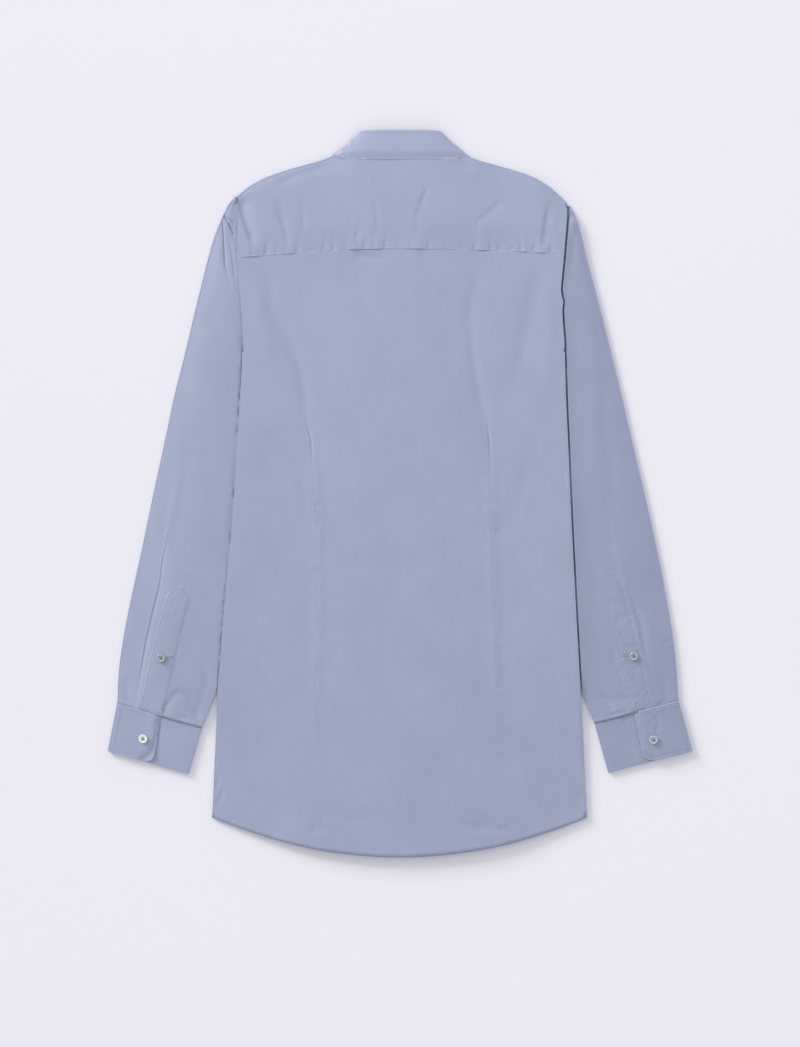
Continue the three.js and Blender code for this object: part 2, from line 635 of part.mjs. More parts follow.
// The share of the way across at which the sleeve passes under the body's edge
function underEdgeShare(side, { outer, back, pleat }) {
  const across = [outer, back].map(({ x, y }) => Math.abs(x) - Math.abs(edgeX(side, y)));
  return Math.min(Math.max(across[0] / (across[0] - across[1]), pleat + 0.2), 0.92);
}

function upperSleevePoint(side, row, share) {
  const section = sleeveSection(side, row);
  const form = sleeveForm[sleeveName(side)];
  const inset = (section.fold - floorLayer) / 2 + clothWall / 2;
  const across = section.back.clone().sub(section.outer);
  const width = across.length();
  const start = Math.min(inset / width, 0.45);
  const at = section.outer.clone().addScaledVector(across, mix(start, 1, share));
  const fromOuter = width * mix(start, 1, share) - inset;
  const fromBody = Math.max(0, Math.abs(at.x) - Math.abs(edgeX(side, at.y)) - 3);
  const arch = Math.sin((Math.PI * fromOuter) / (fromOuter + fromBody + 0.01));
  const crown = form.crown * arch * smooth(width / 60);
  const alongSeam = smooth((at.y - 182) / 35) * smooth((336 - at.y) / 20);
  const lift = form.seamLift * smooth(1 - fromBody / 25) * alongSeam;
  const pleated = smooth((45 - at.y) / 90);
  const fromPleat = (share - section.pleat) * width;
  const step = fromPleat < 0
    ? form.outerStep * Math.exp(fromPleat / 12)
    : form.innerStep * Math.exp(-fromPleat / 30) * smooth(fromBody / 12);
  const level = mix(section.fold, sleeveFoldTop, smooth(share));
  return new THREE.Vector3(at.x, at.y, level + crown + lift + step * pleated);
}

function sleeveRing(side, row) {
  const section = sleeveSection(side, row);
  const radius = (section.fold - floorLayer) / 2;
  const outward = section.outer.clone().sub(section.front).normalize();
  const centre = section.outer.clone().addScaledVector(outward, -radius - clothWall / 2);
  const roll = foldSteps.slice(1, -1).map((step) => {
    const at = centre.clone().addScaledVector(outward, radius * Math.sin(Math.PI * step));
    return new THREE.Vector3(at.x, at.y, floorLayer + radius + radius * Math.cos(Math.PI * step));
  });
  const { pleat } = section;
  const atEdge = underEdgeShare(side, section);
  const besidePleat = pleat + 0.07;
  const between = [0.68, 0.34].map((part) => mix(besidePleat, atEdge, part));
  const pleatShares = [besidePleat, pleat + 0.012, pleat - 0.012, pleat * 0.5];
  const shares = [1, mix(atEdge, 1, 0.5), atEdge, ...between, ...pleatShares, 0];
  const upper = shares.map((share) => upperSleevePoint(side, row, share));
  const lowerStart = centre;
  const lowerEnd = section.front.clone().addScaledVector(outward, clothWall / 2 + section.curl * 1.1);
  const lower = lowerShares.map((share) => {
    const at = lowerStart.clone().lerp(lowerEnd, share);
    return new THREE.Vector3(at.x, at.y, floorLayer);
  });
  const curlRadius = 0.75;
  const curled = curlSteps.map((step) => {
    const angle = section.curl * step * 2.2;
    const inward = mix(step * 1.2, curlRadius * Math.sin(angle), section.curl);
    const at = lowerEnd.clone().addScaledVector(outward, -inward);
    return new THREE.Vector3(at.x, at.y, floorLayer + section.curl * curlRadius * (1 - Math.cos(angle)));
  });
  const flat = new THREE.Vector3(centre.x, centre.y, floorLayer);
  return [...upper, ...roll, flat, ...lower, ...curled];
}

const underarmRow = 9;
const sleeveStations = [
  0, 0.5, 1, 2, 3, 4, 5, 6, 7, 8, 9, 9.5, 10, 10.5, 11, 11.5, 12, 12.5, 13, 13.5, 14, 14.5, 15, 15.5, 16,
];
const makeSleeve = (side) => clothSolid(sleeveStations.map((row) => sleeveRing(side, row)), clothWall);

// The pointed facing on the sleeve opening, made from the sleeve's own points moved up
function makeOpening(side) {
  const form = openings[sleeveName(side)];
  const cuffRow = 15.97;
  const sides = range(7).map((share) => ({ row: mix(cuffRow, form.shoulder, share), point: 0, share }));
  const tip = { row: mix(form.shoulder, form.tip, 0.9), point: 0.9, share: 1 };
  const points = [...sides, tip].map(({ row, point, share }) => range(4).map((across) => {
    const [outer, inner] = [0, 1].map((i) => mix(form.bottom[i], form.top[i], share));
    const middle = (outer + inner) / 2;
    const at = mix(mix(outer, inner, across), middle, point);
    return upperSleevePoint(side, row, at).add(new THREE.Vector3(0, 0, clothWall + lapClearance));
  }));
  return clothSolid(points, clothWall);
}

// A cuff: a band whose buttonhole end laps over its other end on the upper side
const cuffFloor = cuffWall / 2;
const cuffUnder = cuffFloor + cuffWall + lapClearance;
const cuffOver = cuffUnder + cuffWall + lapClearance;
const cuffRowShares = [0, 0.25, 0.5, 0.72, 0.82, 0.9, 0.96, 1];

function cuffPlan(form, across, down) {
  const top = form.outerTop.map((v, i) => mix(v, form.innerTop[i], across));
  const bottom = form.outerBottom.map((v, i) => mix(v, form.innerBottom[i], across));
  return top.map((v, i) => mix(v, bottom[i], down));
}

function makeCuff(side) {
  const form = cuffs[sleeveName(side)];
  const width = Math.hypot(form.innerTop[0] - form.outerTop[0], form.innerTop[1] - form.outerTop[1]);
  const cornerShare = 0.12;
  const points = cuffRowShares.map((down) => {
    const drop = clamp01((down - 0.8) / 0.2);
    const rounded = cornerShare * (1 - Math.sqrt(1 - drop ** 2));
    const lapEnd = mix(form.lapTop, form.lapBottom, down / 0.8) - rounded;
    const place = (across, z) => {
      const [x, y] = cuffPlan(form, across, down);
      return new THREE.Vector3(x, y, z);
    };
    const turn = (edge, sign, low, high) => {
      const radius = (high - low) / 2;
      return foldSteps.map((step) => {
        const out = radius * (1 - Math.sin(Math.PI * step)) + cuffWall / 2;
        return place(edge + (sign * out) / width, low + radius * (1 - Math.cos(Math.PI * step)));
      });
    };
    const lapLevel = (across) => mix(cuffOver - 0.7, cuffOver, smooth((across - 0.12) / 0.2));
    const lap = [1, 0.7, 0.4].map((share) => place(mix(0.05, lapEnd, share), lapLevel(lapEnd * share)));
    const outerTurn = turn(0, 1, cuffFloor, cuffOver - 0.7).toReversed();
    const floor = [0.3, 0.7].map((across) => place(across, cuffFloor));
    const innerTurn = turn(1, -1, cuffFloor, cuffUnder);
    const under = [0.8, 0.6, 0.36].map((across) => place(across, cuffUnder));
    return [...lap, ...outerTurn, ...floor, ...innerTurn, ...under];
  });
  return clothSolid(points, cuffWall);
}

// The collar: rows run from the left front end, round the back of the neck, to the right front end
function collarSections(perRow) {
  const last = collarRows.length - 1;
  const count = last * perRow;
  const halves = range(count).map((share) => {
    const at = share * last;
    const [fold, edge, seam] = ['fold', 'edge', 'seam'].map((column) => (
      new THREE.Vector3(...readRow(collarRows, column, at))
    ));
    const turn = THREE.MathUtils.degToRad(readRow(collarRows, 'turn', at));
    return { outward: new THREE.Vector3(Math.sin(turn), 0, Math.cos(turn)), fold, edge, seam };
  });
  const flip = (v) => new THREE.Vector3(-v.x, v.y, v.z);
  const mirrored = halves.slice(1).toReversed().map(({ outward, fold, edge, seam }) => (
    { outward: flip(outward), fold: flip(fold), edge: flip(edge), seam: flip(seam) }
  ));
  return [...mirrored, ...halves];
}

function makeLeaf() {
  const points = collarSections(2).map(({ fold, edge, outward }) => range(3).map((share) => {
    const bow = Math.sin(Math.PI * share) * 0.5;
    return fold.clone().lerp(edge, share).addScaledVector(outward, outward.z > -0.5 ? bow : 0);
  }));
  return clothSolid(points, collarWall - 0.1);
}

function makeStand() {
  const inside = (section) => section.fold.clone().addScaledVector(section.outward, -standInset);
  const sections = collarSections(2).map((section) => {
    const top = inside(section);
    const reach = top.clone().sub(section.seam);
    const middle = section.seam.clone().addScaledVector(reach, 0.5);
    return [section.seam, middle, top.addScaledVector(reach, -0.05)];
  });
  const lapOver = (points, towards) => points.map((p) => new THREE.Vector3(towards * standLap, p.y, p.z));
  const rightLap = sections.pop().map((p) => new THREE.Vector3(p.x, p.y, p.z + collarWall + lapClearance));
  return clothSolid([lapOver(sections[0], 1), ...sections, rightLap, lapOver(rightLap, -1)], collarWall);
}

// A four-hole shirt button with a sunk middle, its flat side at z = 0
async function makeButtonGeometry() {
  const wasm = await Module();
  wasm.setup();
  const toSolid = (geometry) => {
    geometry.deleteAttribute('normal');
    geometry.deleteAttribute('uv');
    const merged = mergeVertices(geometry, 1e-4);
    const { position } = merged.attributes;
    const triVerts = new Uint32Array(merged.index.array);
    const mesh = { numProp: 3, vertProperties: position.array, triVerts };
    return new wasm.Manifold(new wasm.Mesh(mesh));
  };
  const profile = [
    [0, 0], [buttonRadius - 0.4, 0], [buttonRadius, 1.2], [buttonRadius - 0.7, buttonHeight],
    [buttonRadius - 1.7, 1.6], [0, 1.6],
  ].map(([r, z]) => new THREE.Vector2(r, z));
  const disc = toSolid(new THREE.LatheGeometry(profile, 14).rotateX(Math.PI / 2));
  const hole = new THREE.CylinderGeometry(buttonHoleRadius, buttonHoleRadius, buttonHeight * 3, 5);
  hole.rotateX(Math.PI / 2);
  const holes = [[1, 1], [1, -1], [-1, 1], [-1, -1]].map(([i, j]) => (
    toSolid(hole.clone().translate(i * buttonHoleSpread, j * buttonHoleSpread, 0))
  ));
  const made = holes.reduce((solid, cut) => solid.subtract(cut), disc).getMesh();
  const geometry = new THREE.BufferGeometry();
  geometry.setAttribute('position', new THREE.BufferAttribute(made.vertProperties, made.numProp));
  geometry.setIndex(new THREE.BufferAttribute(made.triVerts, 1));
  return geometry.toNonIndexed();
}

const shirting = new THREE.MeshStandardMaterial({ color: clothColour, roughness: 0.85, metalness: 0 });
const interlined = new THREE.MeshStandardMaterial({ color: cuffColour, roughness: 0.8, metalness: 0 });
const buttonStuff = new THREE.MeshStandardMaterial({ color: buttonColour, roughness: 0.25, metalness: 0 });

const shirt = new THREE.Group();
const addMesh = (name, geometry, material) => {
  const mesh = new THREE.Mesh(geometry, material);
  mesh.name = name;
  shirt.add(mesh);
  return mesh;
};

addMesh('back', makeBack(), shirting);
addMesh('yoke', makeYoke(), shirting);
addMesh('left_front', makeLeftFront(), shirting);
addMesh('right_front', makeRightFront(), shirting);
addMesh('front_band', makeBand(), shirting);
addMesh('collar_stand', makeStand(), interlined);
addMesh('collar_leaf', makeLeaf(), interlined);

const buttonGeometry = await makeButtonGeometry();
const addButton = (name, x, y, z, facing) => {
  const mesh = addMesh(name, buttonGeometry, buttonStuff);
  mesh.position.set(x, y, facing > 0 ? z : z + buttonHeight);
  mesh.rotation.x = facing > 0 ? 0 : Math.PI;
  return mesh;
};

for (const side of [-1, 1]) {
  const name = sleeveName(side);
  addMesh(`${name}_sleeve`, makeSleeve(side), shirting);
  addMesh(`${name}_sleeve_facing`, makeOpening(side), shirting);
  addMesh(`${name}_cuff`, makeCuff(side), interlined);
  const [across, down] = cuffs[name].button;
  const [cuffX, cuffY] = cuffPlan(cuffs[name], across, down);
  addButton(`${name}_cuff_button`, cuffX, cuffY, cuffOver + cuffWall / 2 + seamGap, 1);
  const seat = upperSleevePoint(side, ...openings[name].button);
  const facingTop = seat.z + clothWall * 1.5 + lapClearance;
  addButton(`${name}_facing_button`, seat.x, seat.y, facingTop + 2 * seamGap, 1);
}

for (let i = 0; i < frontButtonCount; i += 1) {
  addButton(`front_button_${i + 1}`, 0, frontButtonTop - i * frontButtonPitch, 0, -1);
}
addButton('collar_button', 0, collarButtonY, 0, -1);

export default shirt;
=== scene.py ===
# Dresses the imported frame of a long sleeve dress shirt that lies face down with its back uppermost.
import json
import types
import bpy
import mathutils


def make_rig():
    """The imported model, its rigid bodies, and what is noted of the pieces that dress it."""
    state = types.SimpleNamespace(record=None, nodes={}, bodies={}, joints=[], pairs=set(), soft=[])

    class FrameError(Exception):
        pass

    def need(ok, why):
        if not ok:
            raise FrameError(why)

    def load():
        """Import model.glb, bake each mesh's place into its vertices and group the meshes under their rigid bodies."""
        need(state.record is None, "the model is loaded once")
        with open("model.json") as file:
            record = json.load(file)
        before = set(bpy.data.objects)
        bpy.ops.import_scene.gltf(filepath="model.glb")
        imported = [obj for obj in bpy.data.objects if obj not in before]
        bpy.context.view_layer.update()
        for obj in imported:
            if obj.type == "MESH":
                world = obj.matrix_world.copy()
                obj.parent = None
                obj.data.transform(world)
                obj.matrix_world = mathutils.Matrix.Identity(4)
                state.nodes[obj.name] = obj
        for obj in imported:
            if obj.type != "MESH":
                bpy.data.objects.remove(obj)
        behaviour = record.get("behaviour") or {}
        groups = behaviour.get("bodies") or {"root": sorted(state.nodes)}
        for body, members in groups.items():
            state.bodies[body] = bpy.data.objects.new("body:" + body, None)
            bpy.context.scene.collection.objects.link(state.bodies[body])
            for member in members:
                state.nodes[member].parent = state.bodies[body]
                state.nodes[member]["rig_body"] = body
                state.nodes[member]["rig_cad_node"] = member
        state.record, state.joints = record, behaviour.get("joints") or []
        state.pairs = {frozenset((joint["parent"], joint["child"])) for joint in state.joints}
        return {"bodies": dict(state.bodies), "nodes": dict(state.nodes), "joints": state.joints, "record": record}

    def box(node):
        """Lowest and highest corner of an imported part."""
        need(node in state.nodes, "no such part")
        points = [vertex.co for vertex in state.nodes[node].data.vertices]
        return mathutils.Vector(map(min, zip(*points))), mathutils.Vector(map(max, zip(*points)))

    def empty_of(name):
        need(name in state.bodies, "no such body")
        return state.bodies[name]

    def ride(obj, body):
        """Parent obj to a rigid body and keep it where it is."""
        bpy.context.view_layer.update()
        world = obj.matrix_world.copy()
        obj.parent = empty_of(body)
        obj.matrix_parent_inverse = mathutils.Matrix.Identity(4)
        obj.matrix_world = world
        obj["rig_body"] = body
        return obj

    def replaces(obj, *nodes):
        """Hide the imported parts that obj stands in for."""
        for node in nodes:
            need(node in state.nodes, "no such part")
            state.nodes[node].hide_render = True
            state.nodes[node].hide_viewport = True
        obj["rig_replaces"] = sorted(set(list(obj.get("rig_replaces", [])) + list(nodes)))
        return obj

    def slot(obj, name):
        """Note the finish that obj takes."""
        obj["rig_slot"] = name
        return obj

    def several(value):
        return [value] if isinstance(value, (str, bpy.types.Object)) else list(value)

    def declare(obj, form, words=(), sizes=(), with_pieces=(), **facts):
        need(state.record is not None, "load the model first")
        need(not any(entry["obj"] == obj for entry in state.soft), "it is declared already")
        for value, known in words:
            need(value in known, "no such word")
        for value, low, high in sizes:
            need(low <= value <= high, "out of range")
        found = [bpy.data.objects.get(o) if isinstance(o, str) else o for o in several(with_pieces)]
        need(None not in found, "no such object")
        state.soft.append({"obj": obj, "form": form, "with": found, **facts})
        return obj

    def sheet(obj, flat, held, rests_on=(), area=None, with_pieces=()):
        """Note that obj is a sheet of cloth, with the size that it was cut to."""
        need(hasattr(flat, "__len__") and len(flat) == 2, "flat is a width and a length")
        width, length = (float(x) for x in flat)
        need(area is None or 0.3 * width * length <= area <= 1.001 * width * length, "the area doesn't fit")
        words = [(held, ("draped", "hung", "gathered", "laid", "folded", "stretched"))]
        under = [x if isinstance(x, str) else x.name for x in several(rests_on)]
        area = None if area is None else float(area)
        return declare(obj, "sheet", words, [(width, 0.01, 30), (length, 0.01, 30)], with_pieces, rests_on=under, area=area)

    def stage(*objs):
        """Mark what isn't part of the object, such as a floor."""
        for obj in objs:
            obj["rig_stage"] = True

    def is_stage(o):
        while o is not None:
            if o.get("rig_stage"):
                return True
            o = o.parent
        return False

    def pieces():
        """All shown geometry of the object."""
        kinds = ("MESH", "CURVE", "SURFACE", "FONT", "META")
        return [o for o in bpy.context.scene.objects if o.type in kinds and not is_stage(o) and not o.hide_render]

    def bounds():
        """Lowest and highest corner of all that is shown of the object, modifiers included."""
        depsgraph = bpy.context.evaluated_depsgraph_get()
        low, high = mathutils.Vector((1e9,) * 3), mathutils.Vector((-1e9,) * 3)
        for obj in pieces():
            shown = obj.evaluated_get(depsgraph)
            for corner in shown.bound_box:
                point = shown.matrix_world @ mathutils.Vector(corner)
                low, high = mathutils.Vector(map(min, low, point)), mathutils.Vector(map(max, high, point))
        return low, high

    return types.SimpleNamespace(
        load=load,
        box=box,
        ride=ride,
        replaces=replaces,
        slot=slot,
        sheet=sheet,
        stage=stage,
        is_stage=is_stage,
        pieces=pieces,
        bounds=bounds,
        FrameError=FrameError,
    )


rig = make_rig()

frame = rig.load()

import json
import math

import bmesh
import bpy
import numpy as np
from mathutils import Matrix, Vector
from mathutils.bvhtree import BVHTree

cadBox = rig.bounds()
mm = 0.001

# Small helpers


def hexToLinear(code):
    channels = [int(code[i:i + 2], 16) / 255 for i in (1, 3, 5)]
    linear = [c / 12.92 if c <= 0.04045 else ((c + 0.055) / 1.055) ** 2.4 for c in channels]
    return (*linear, 1.0)


def addNode(tree, kind, settings=None, links=None):
    node = tree.nodes.new(kind)
    for name, value in (settings or {}).items():
        setattr(node, name, value)
    for name, value in (links or {}).items():
        if isinstance(value, bpy.types.NodeSocket):
            tree.links.new(value, node.inputs[name])
        else:
            node.inputs[name].default_value = value
    return node


def newMaterial(name):
    material = bpy.data.materials.new(name)
    material.use_nodes = True
    material.node_tree.nodes.clear()
    return material, material.node_tree


def addSurface(tree, settings):
    shader = addNode(tree, "ShaderNodeBsdfPrincipled", None, settings)
    addNode(tree, "ShaderNodeOutputMaterial", None, {"Surface": shader.outputs["BSDF"]})


def multiplied(tree, first, second, plus=None):
    operation = "MULTIPLY" if plus is None else "MULTIPLY_ADD"
    inputs = {0: first, 1: second} if plus is None else {0: first, 1: second, 2: plus}
    return addNode(tree, "ShaderNodeMath", {"operation": operation}, inputs).outputs[0]


def mapped(tree, value, low, high, toLow=0.0, toHigh=1.0):
    return addNode(tree, "ShaderNodeMapRange", None, {
        "Value": value, "From Min": low, "From Max": high, "To Min": toLow, "To Max": toHigh,
    }).outputs["Result"]


def addNoise(tree, place, size, detail=2.0, distortion=0.0):
    return addNode(tree, "ShaderNodeTexNoise", None, {
        "Vector": place, "Scale": 1 / size, "Detail": detail, "Distortion": distortion,
    }).outputs["Fac"]


def blended(tree, share, first, second):
    colour = addNode(tree, "ShaderNodeMix", {"data_type": "RGBA"}, {"Factor": share})
    colour.inputs[6].default_value = hexToLinear(first)
    colour.inputs[7].default_value = hexToLinear(second)
    return colour.outputs[2]


def addObject(name, mesh):
    made = bpy.data.objects.new(name, mesh)
    bpy.context.scene.collection.objects.link(made)
    return made


def applied(source, name):
    # The evaluated object as a plain mesh, and the source goes
    bpy.context.view_layer.update()
    mesh = bpy.data.meshes.new_from_object(source.evaluated_get(bpy.context.evaluated_depsgraph_get()))
    bpy.data.objects.remove(source)
    mesh.name = name
    return addObject(name, mesh)


def smoothStep(value):
    share = np.clip(value, 0, 1)
    return share * share * (3 - 2 * share)


# Camera and light come first. The photo looks straight down from well above.

view = {
    "heightShown": 1204 * mm,     # what the photo's height spans on the surface
    "centre": (0.0, -34 * mm),    # the surface point at the photo's middle
    "lens": 85.0,
    "sensor": 36.0,
}
light = {
    "floor": "#e6e5ec",
    "skyColour": "#f7f7fb",
    "skyStrength": 0.82,
    "colour": "#fffdf8",
    "keyFrom": (-0.88, 0.82, 0.34),   # low, from the upper left
    "keyAngle": 18,                   # degrees across, for soft shadows
    "keyStrength": 2.95,
    "headFrom": (-0.3, 1.9, 1.5),     # a wide weak lamp beyond the collar
    "headSize": 1.2,
    "headPower": 4.0,
}


def makeCamera():
    camera = bpy.data.objects.new("camera", bpy.data.cameras.new("camera"))
    camera.data.lens = view["lens"]
    camera.data.sensor_width = view["sensor"]
    distance = view["heightShown"] * view["lens"] / view["sensor"]
    camera.location = (view["centre"][0], view["centre"][1], distance)
    bpy.context.scene.collection.objects.link(camera)
    bpy.context.scene.camera = camera


def addLight(name, kind, place, target, energy):
    lamp = bpy.data.lights.new(name, kind)
    lamp.energy = energy
    lamp.color = hexToLinear(light["colour"])[:3]
    holder = bpy.data.objects.new(name, lamp)
    holder.location = place
    aim = Vector(target) - Vector(place)
    holder.rotation_mode = "QUATERNION"
    holder.rotation_quaternion = aim.to_track_quat("-Z", "Y")
    bpy.context.scene.collection.objects.link(holder)
    return lamp


def makeStudio():
    world = bpy.data.worlds.new("studio")
    bpy.context.scene.world = world
    world.use_nodes = True
    background = world.node_tree.nodes["Background"]
    background.inputs["Color"].default_value = hexToLinear(light["skyColour"])
    background.inputs["Strength"].default_value = light["skyStrength"]
    key = addLight("key", "SUN", light["keyFrom"], (0, 0, 0), light["keyStrength"])
    key.angle = math.radians(light["keyAngle"])
    head = addLight("head", "AREA", light["headFrom"], (*view["centre"], 0), light["headPower"])
    head.shape = "DISK"
    head.size = light["headSize"]
    bpy.context.scene.view_settings.view_transform = "Standard"

    grid = bmesh.new()
    bmesh.ops.create_grid(grid, x_segments=1, y_segments=1, size=3.0)
    mesh = bpy.data.meshes.new("floor")
    grid.to_mesh(mesh)
    grid.free()
    floor = addObject("floor", mesh)
    floor.location.z = -0.05 * mm
    # Painted board: plain, pale and matt
    material, tree = newMaterial("painted board, matt")
    addSurface(tree, {
        "Base Color": hexToLinear(light["floor"]), "Roughness": 0.9, "Specular IOR Level": 0.2,
    })
    mesh.materials.append(material)
    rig.stage(floor)


makeCamera()
makeStudio()
print("camera and light made")

# Materials

poplin = {
    "shade": "#97a0b9",           # light blue-grey yarn-dyed cotton
    "light": "#9fa9c0",
    "collarShade": "#9da6c0",     # the fused collar is drawn a little paler: painted light at the top of the shirt
    "collarLight": "#a5afc7",
    "rightShade": "#929ab4",      # painted shade: the right sleeve's cloth is drawn darker, as it turns from the light
    "rightLight": "#9aa3bb",
    "roughness": 0.82,
    "sheen": 0.18,                # a low bloom from the fibre ends, seen at grazing angles
    "threadSpacing": 0.6 * mm,    # real threads are 0.2 mm apart, too fine to show
    "threadDepth": 0.035 * mm,
    "slubSize": 7.0 * mm,
    "cloudSize": 60.0 * mm,
    "crumpleSize": 13.0 * mm,
    "crumpleDepth": 1.6 * mm,
    "tailTone": 0.94,             # painted shade: the cloth darkens towards the hem, as the light falls off there, and the floor stays even
    "collarTone": 1.045,
    "leftTone": 1.0,              # painted shade also towards the right
    "rightTone": 0.96,
}
# The sewing thread is drawn paler than the cloth: a painted highlight along the seams
sewingThread = {"colour": "#b4bed6", "dullColour": "#97a1b8", "buttonColour": "#76807f", "roughness": 0.6}
pearl = {
    "milky": ("#f1f3ee", "#dfe4df"),
    "clear": ("#bcc4d0", "#9aa2b0"),      # little flake, so the cloth shows through
    # The facings' buttons are the same resin, drawn darker and greyer: painted shade
    "smoky": ("#aeb6b5", "#98a1a1"),
    "grain": 2.2 * mm, "roughness": 0.22,
}


def makePoplin(name, turn, shade, light):
    # Cotton poplin, plain woven and pressed: matt, with a fine even grain along the thread
    material, tree = newMaterial(name)
    place = addNode(tree, "ShaderNodeTexCoord").outputs["Object"]
    along = addNode(tree, "ShaderNodeMapping", None, {
        "Vector": place, "Rotation": (0, 0, math.radians(turn)),
    }).outputs["Vector"]
    axes = addNode(tree, "ShaderNodeSeparateXYZ", None, {"Vector": along}).outputs
    waves = []
    for axis in ("X", "Y"):
        phase = multiplied(tree, axes[axis], math.pi / poplin["threadSpacing"])
        waves.append(addNode(tree, "ShaderNodeMath", {"operation": "SINE"}, {0: phase}).outputs[0])
    weave = multiplied(tree, *waves)
    streaks = addNode(tree, "ShaderNodeMapping", None, {"Vector": along, "Scale": (1.0, 0.22, 1.0)})
    slubs = addNoise(tree, streaks.outputs["Vector"], poplin["slubSize"], detail=3.0)
    clouds = addNoise(tree, along, poplin["cloudSize"])
    uneven = multiplied(tree, weave, 0.12, plus=multiplied(tree, slubs, 0.6, plus=clouds))
    colour = blended(tree, mapped(tree, uneven, 0.35, 1.25), shade, light)
    # Painted light and shade: the colour is drawn paler towards the collar and darker towards the hem and the right
    height = addNode(tree, "ShaderNodeSeparateXYZ", None, {"Vector": place}).outputs
    fall = mapped(tree, height["Y"], -0.42, 0.42, poplin["tailTone"], poplin["collarTone"])
    paintedSideShade = mapped(tree, height["X"], -0.34, 0.34, poplin["leftTone"], poplin["rightTone"])
    paintedLightAndShade = addNode(tree, "ShaderNodeHueSaturation", None, {
        "Color": colour, "Value": multiplied(tree, fall, paintedSideShade),
    })
    # Faint crumples, stronger where the mesh's own attribute says that sewing draws the cloth in
    crumples = addNoise(tree, along, poplin["crumpleSize"], distortion=0.8)
    drawn = addNode(tree, "ShaderNodeAttribute", {"attribute_name": "crumple"})
    folds = addNode(tree, "ShaderNodeBump", None, {
        "Height": multiplied(tree, crumples, drawn.outputs["Fac"]), "Strength": 1.0,
        "Distance": poplin["crumpleDepth"],
    })
    bump = addNode(tree, "ShaderNodeBump", None, {
        "Height": weave, "Strength": 0.35, "Distance": poplin["threadDepth"],
        "Normal": folds.outputs["Normal"],
    })
    addSurface(tree, {
        "Base Color": paintedLightAndShade.outputs["Color"], "Normal": bump.outputs["Normal"],
        "Roughness": poplin["roughness"], "Sheen Weight": poplin["sheen"],
        "Sheen Roughness": 0.5, "IOR": 1.46, "Specular IOR Level": 0.3,
    })
    return material


def makeThread(name, colour):
    # Spun polyester sewing thread, with a slight lustre
    material, tree = newMaterial(name)
    addSurface(tree, {
        "Base Color": hexToLinear(colour), "Roughness": sewingThread["roughness"], "Sheen Weight": 0.2,
    })
    return material


def makePearl(kind):
    # Polyester resin cast with pearl flake and polished, with soft cloudy depth
    light, shade = pearl[kind]
    material, tree = newMaterial("pearl polyester resin, " + kind)
    place = addNode(tree, "ShaderNodeTexCoord").outputs["Object"]
    flake = addNoise(tree, place, pearl["grain"], distortion=1.2)
    addSurface(tree, {
        "Base Color": blended(tree, flake, shade, light), "Roughness": pearl["roughness"], "IOR": 1.55,
        "Coat Weight": 0.4, "Coat Roughness": 0.1,
    })
    return material


bodyCloth = makePoplin("cotton poplin, body", 0, poplin["shade"], poplin["light"])
# The collar's copy of the poplin carries painted light: it is drawn paler than the body's
collarCloth = makePoplin("cotton poplin, fused collar", 0, poplin["collarShade"], poplin["collarLight"])
leftSleeveCloth = makePoplin("cotton poplin, left sleeve", 14, poplin["shade"], poplin["light"])
# The right sleeve's copy of the poplin is drawn darker: painted shade
shadedRightSleeveCloth = makePoplin(
    "cotton poplin, right sleeve", -14, poplin["rightShade"], poplin["rightLight"],
)
# The pale thread carries a painted highlight along the seams
highlightThread = makeThread("polyester sewing thread", sewingThread["colour"])
dullThread = makeThread("polyester sewing thread, facings", sewingThread["dullColour"])
# The button thread is drawn dark: partly its own grey-green, partly painted shade in the holes it runs through
buttonThread = makeThread("polyester button thread", sewingThread["buttonColour"])
pearls = {kind: makePearl(kind) for kind in ("milky", "clear", "smoky")}
print("materials made")

# Cloth pieces start as their solids: merged, turned to quads, and rounded by subdivision

clothMaking = {
    "mergeDistance": 0.004 * mm,
    "flatAngle": 40,         # degrees: a diagonal's two triangles bend less than this
    "rimAngle": 38,          # a wall's rim and an outline's corner bend more, and stay crisp
    "rimCrease": 1.0,
}


def isDiagonal(edge):
    flat = math.radians(clothMaking["flatAngle"])
    if len(edge.link_faces) != 2 or edge.calc_face_angle(math.pi) > flat:
        return False
    longest = [max(face.edges, key=lambda side: side.calc_length()) for face in edge.link_faces]
    return longest[0] is edge and longest[1] is edge


def quadsOf(nodeName):
    quads = bmesh.new()
    quads.from_mesh(frame["nodes"][nodeName].data)
    bmesh.ops.remove_doubles(quads, verts=quads.verts, dist=clothMaking["mergeDistance"])
    diagonals = [edge for edge in quads.edges if isDiagonal(edge)]
    bmesh.ops.dissolve_edges(quads, edges=diagonals, use_verts=False, use_face_split=False)
    bmesh.ops.join_triangles(
        quads, faces=[face for face in quads.faces if len(face.verts) == 3],
        angle_face_threshold=math.radians(clothMaking["flatAngle"]), angle_shape_threshold=math.pi,
    )
    return quads


def refineTop(piece, isFine):
    # Splits the faces that show once more, where isFine says that small folds need it
    centres = np.empty(len(piece.data.polygons) * 3)
    normals = np.empty(len(piece.data.polygons) * 3)
    piece.data.polygons.foreach_get("center", centres)
    piece.data.polygons.foreach_get("normal", normals)
    chosen = (normals[2::3] > 0.5) & isFine(*centres.reshape(-1, 3).T / mm)
    fine = bmesh.new()
    fine.from_mesh(piece.data)
    fine.faces.ensure_lookup_table()
    edges = {edge for i in np.flatnonzero(chosen) for edge in fine.faces[i].edges}
    edges = sorted(edges, key=lambda edge: edge.index)
    done = bmesh.ops.subdivide_edges(fine, edges=edges, cuts=1, use_grid_fill=True)
    fresh = [part for part in done["geom_inner"] if isinstance(part, bmesh.types.BMVert)]
    for _ in range(2):
        bmesh.ops.smooth_vert(fine, verts=fresh, factor=0.5, use_axis_z=True)
    fine.to_mesh(piece.data)
    fine.free()


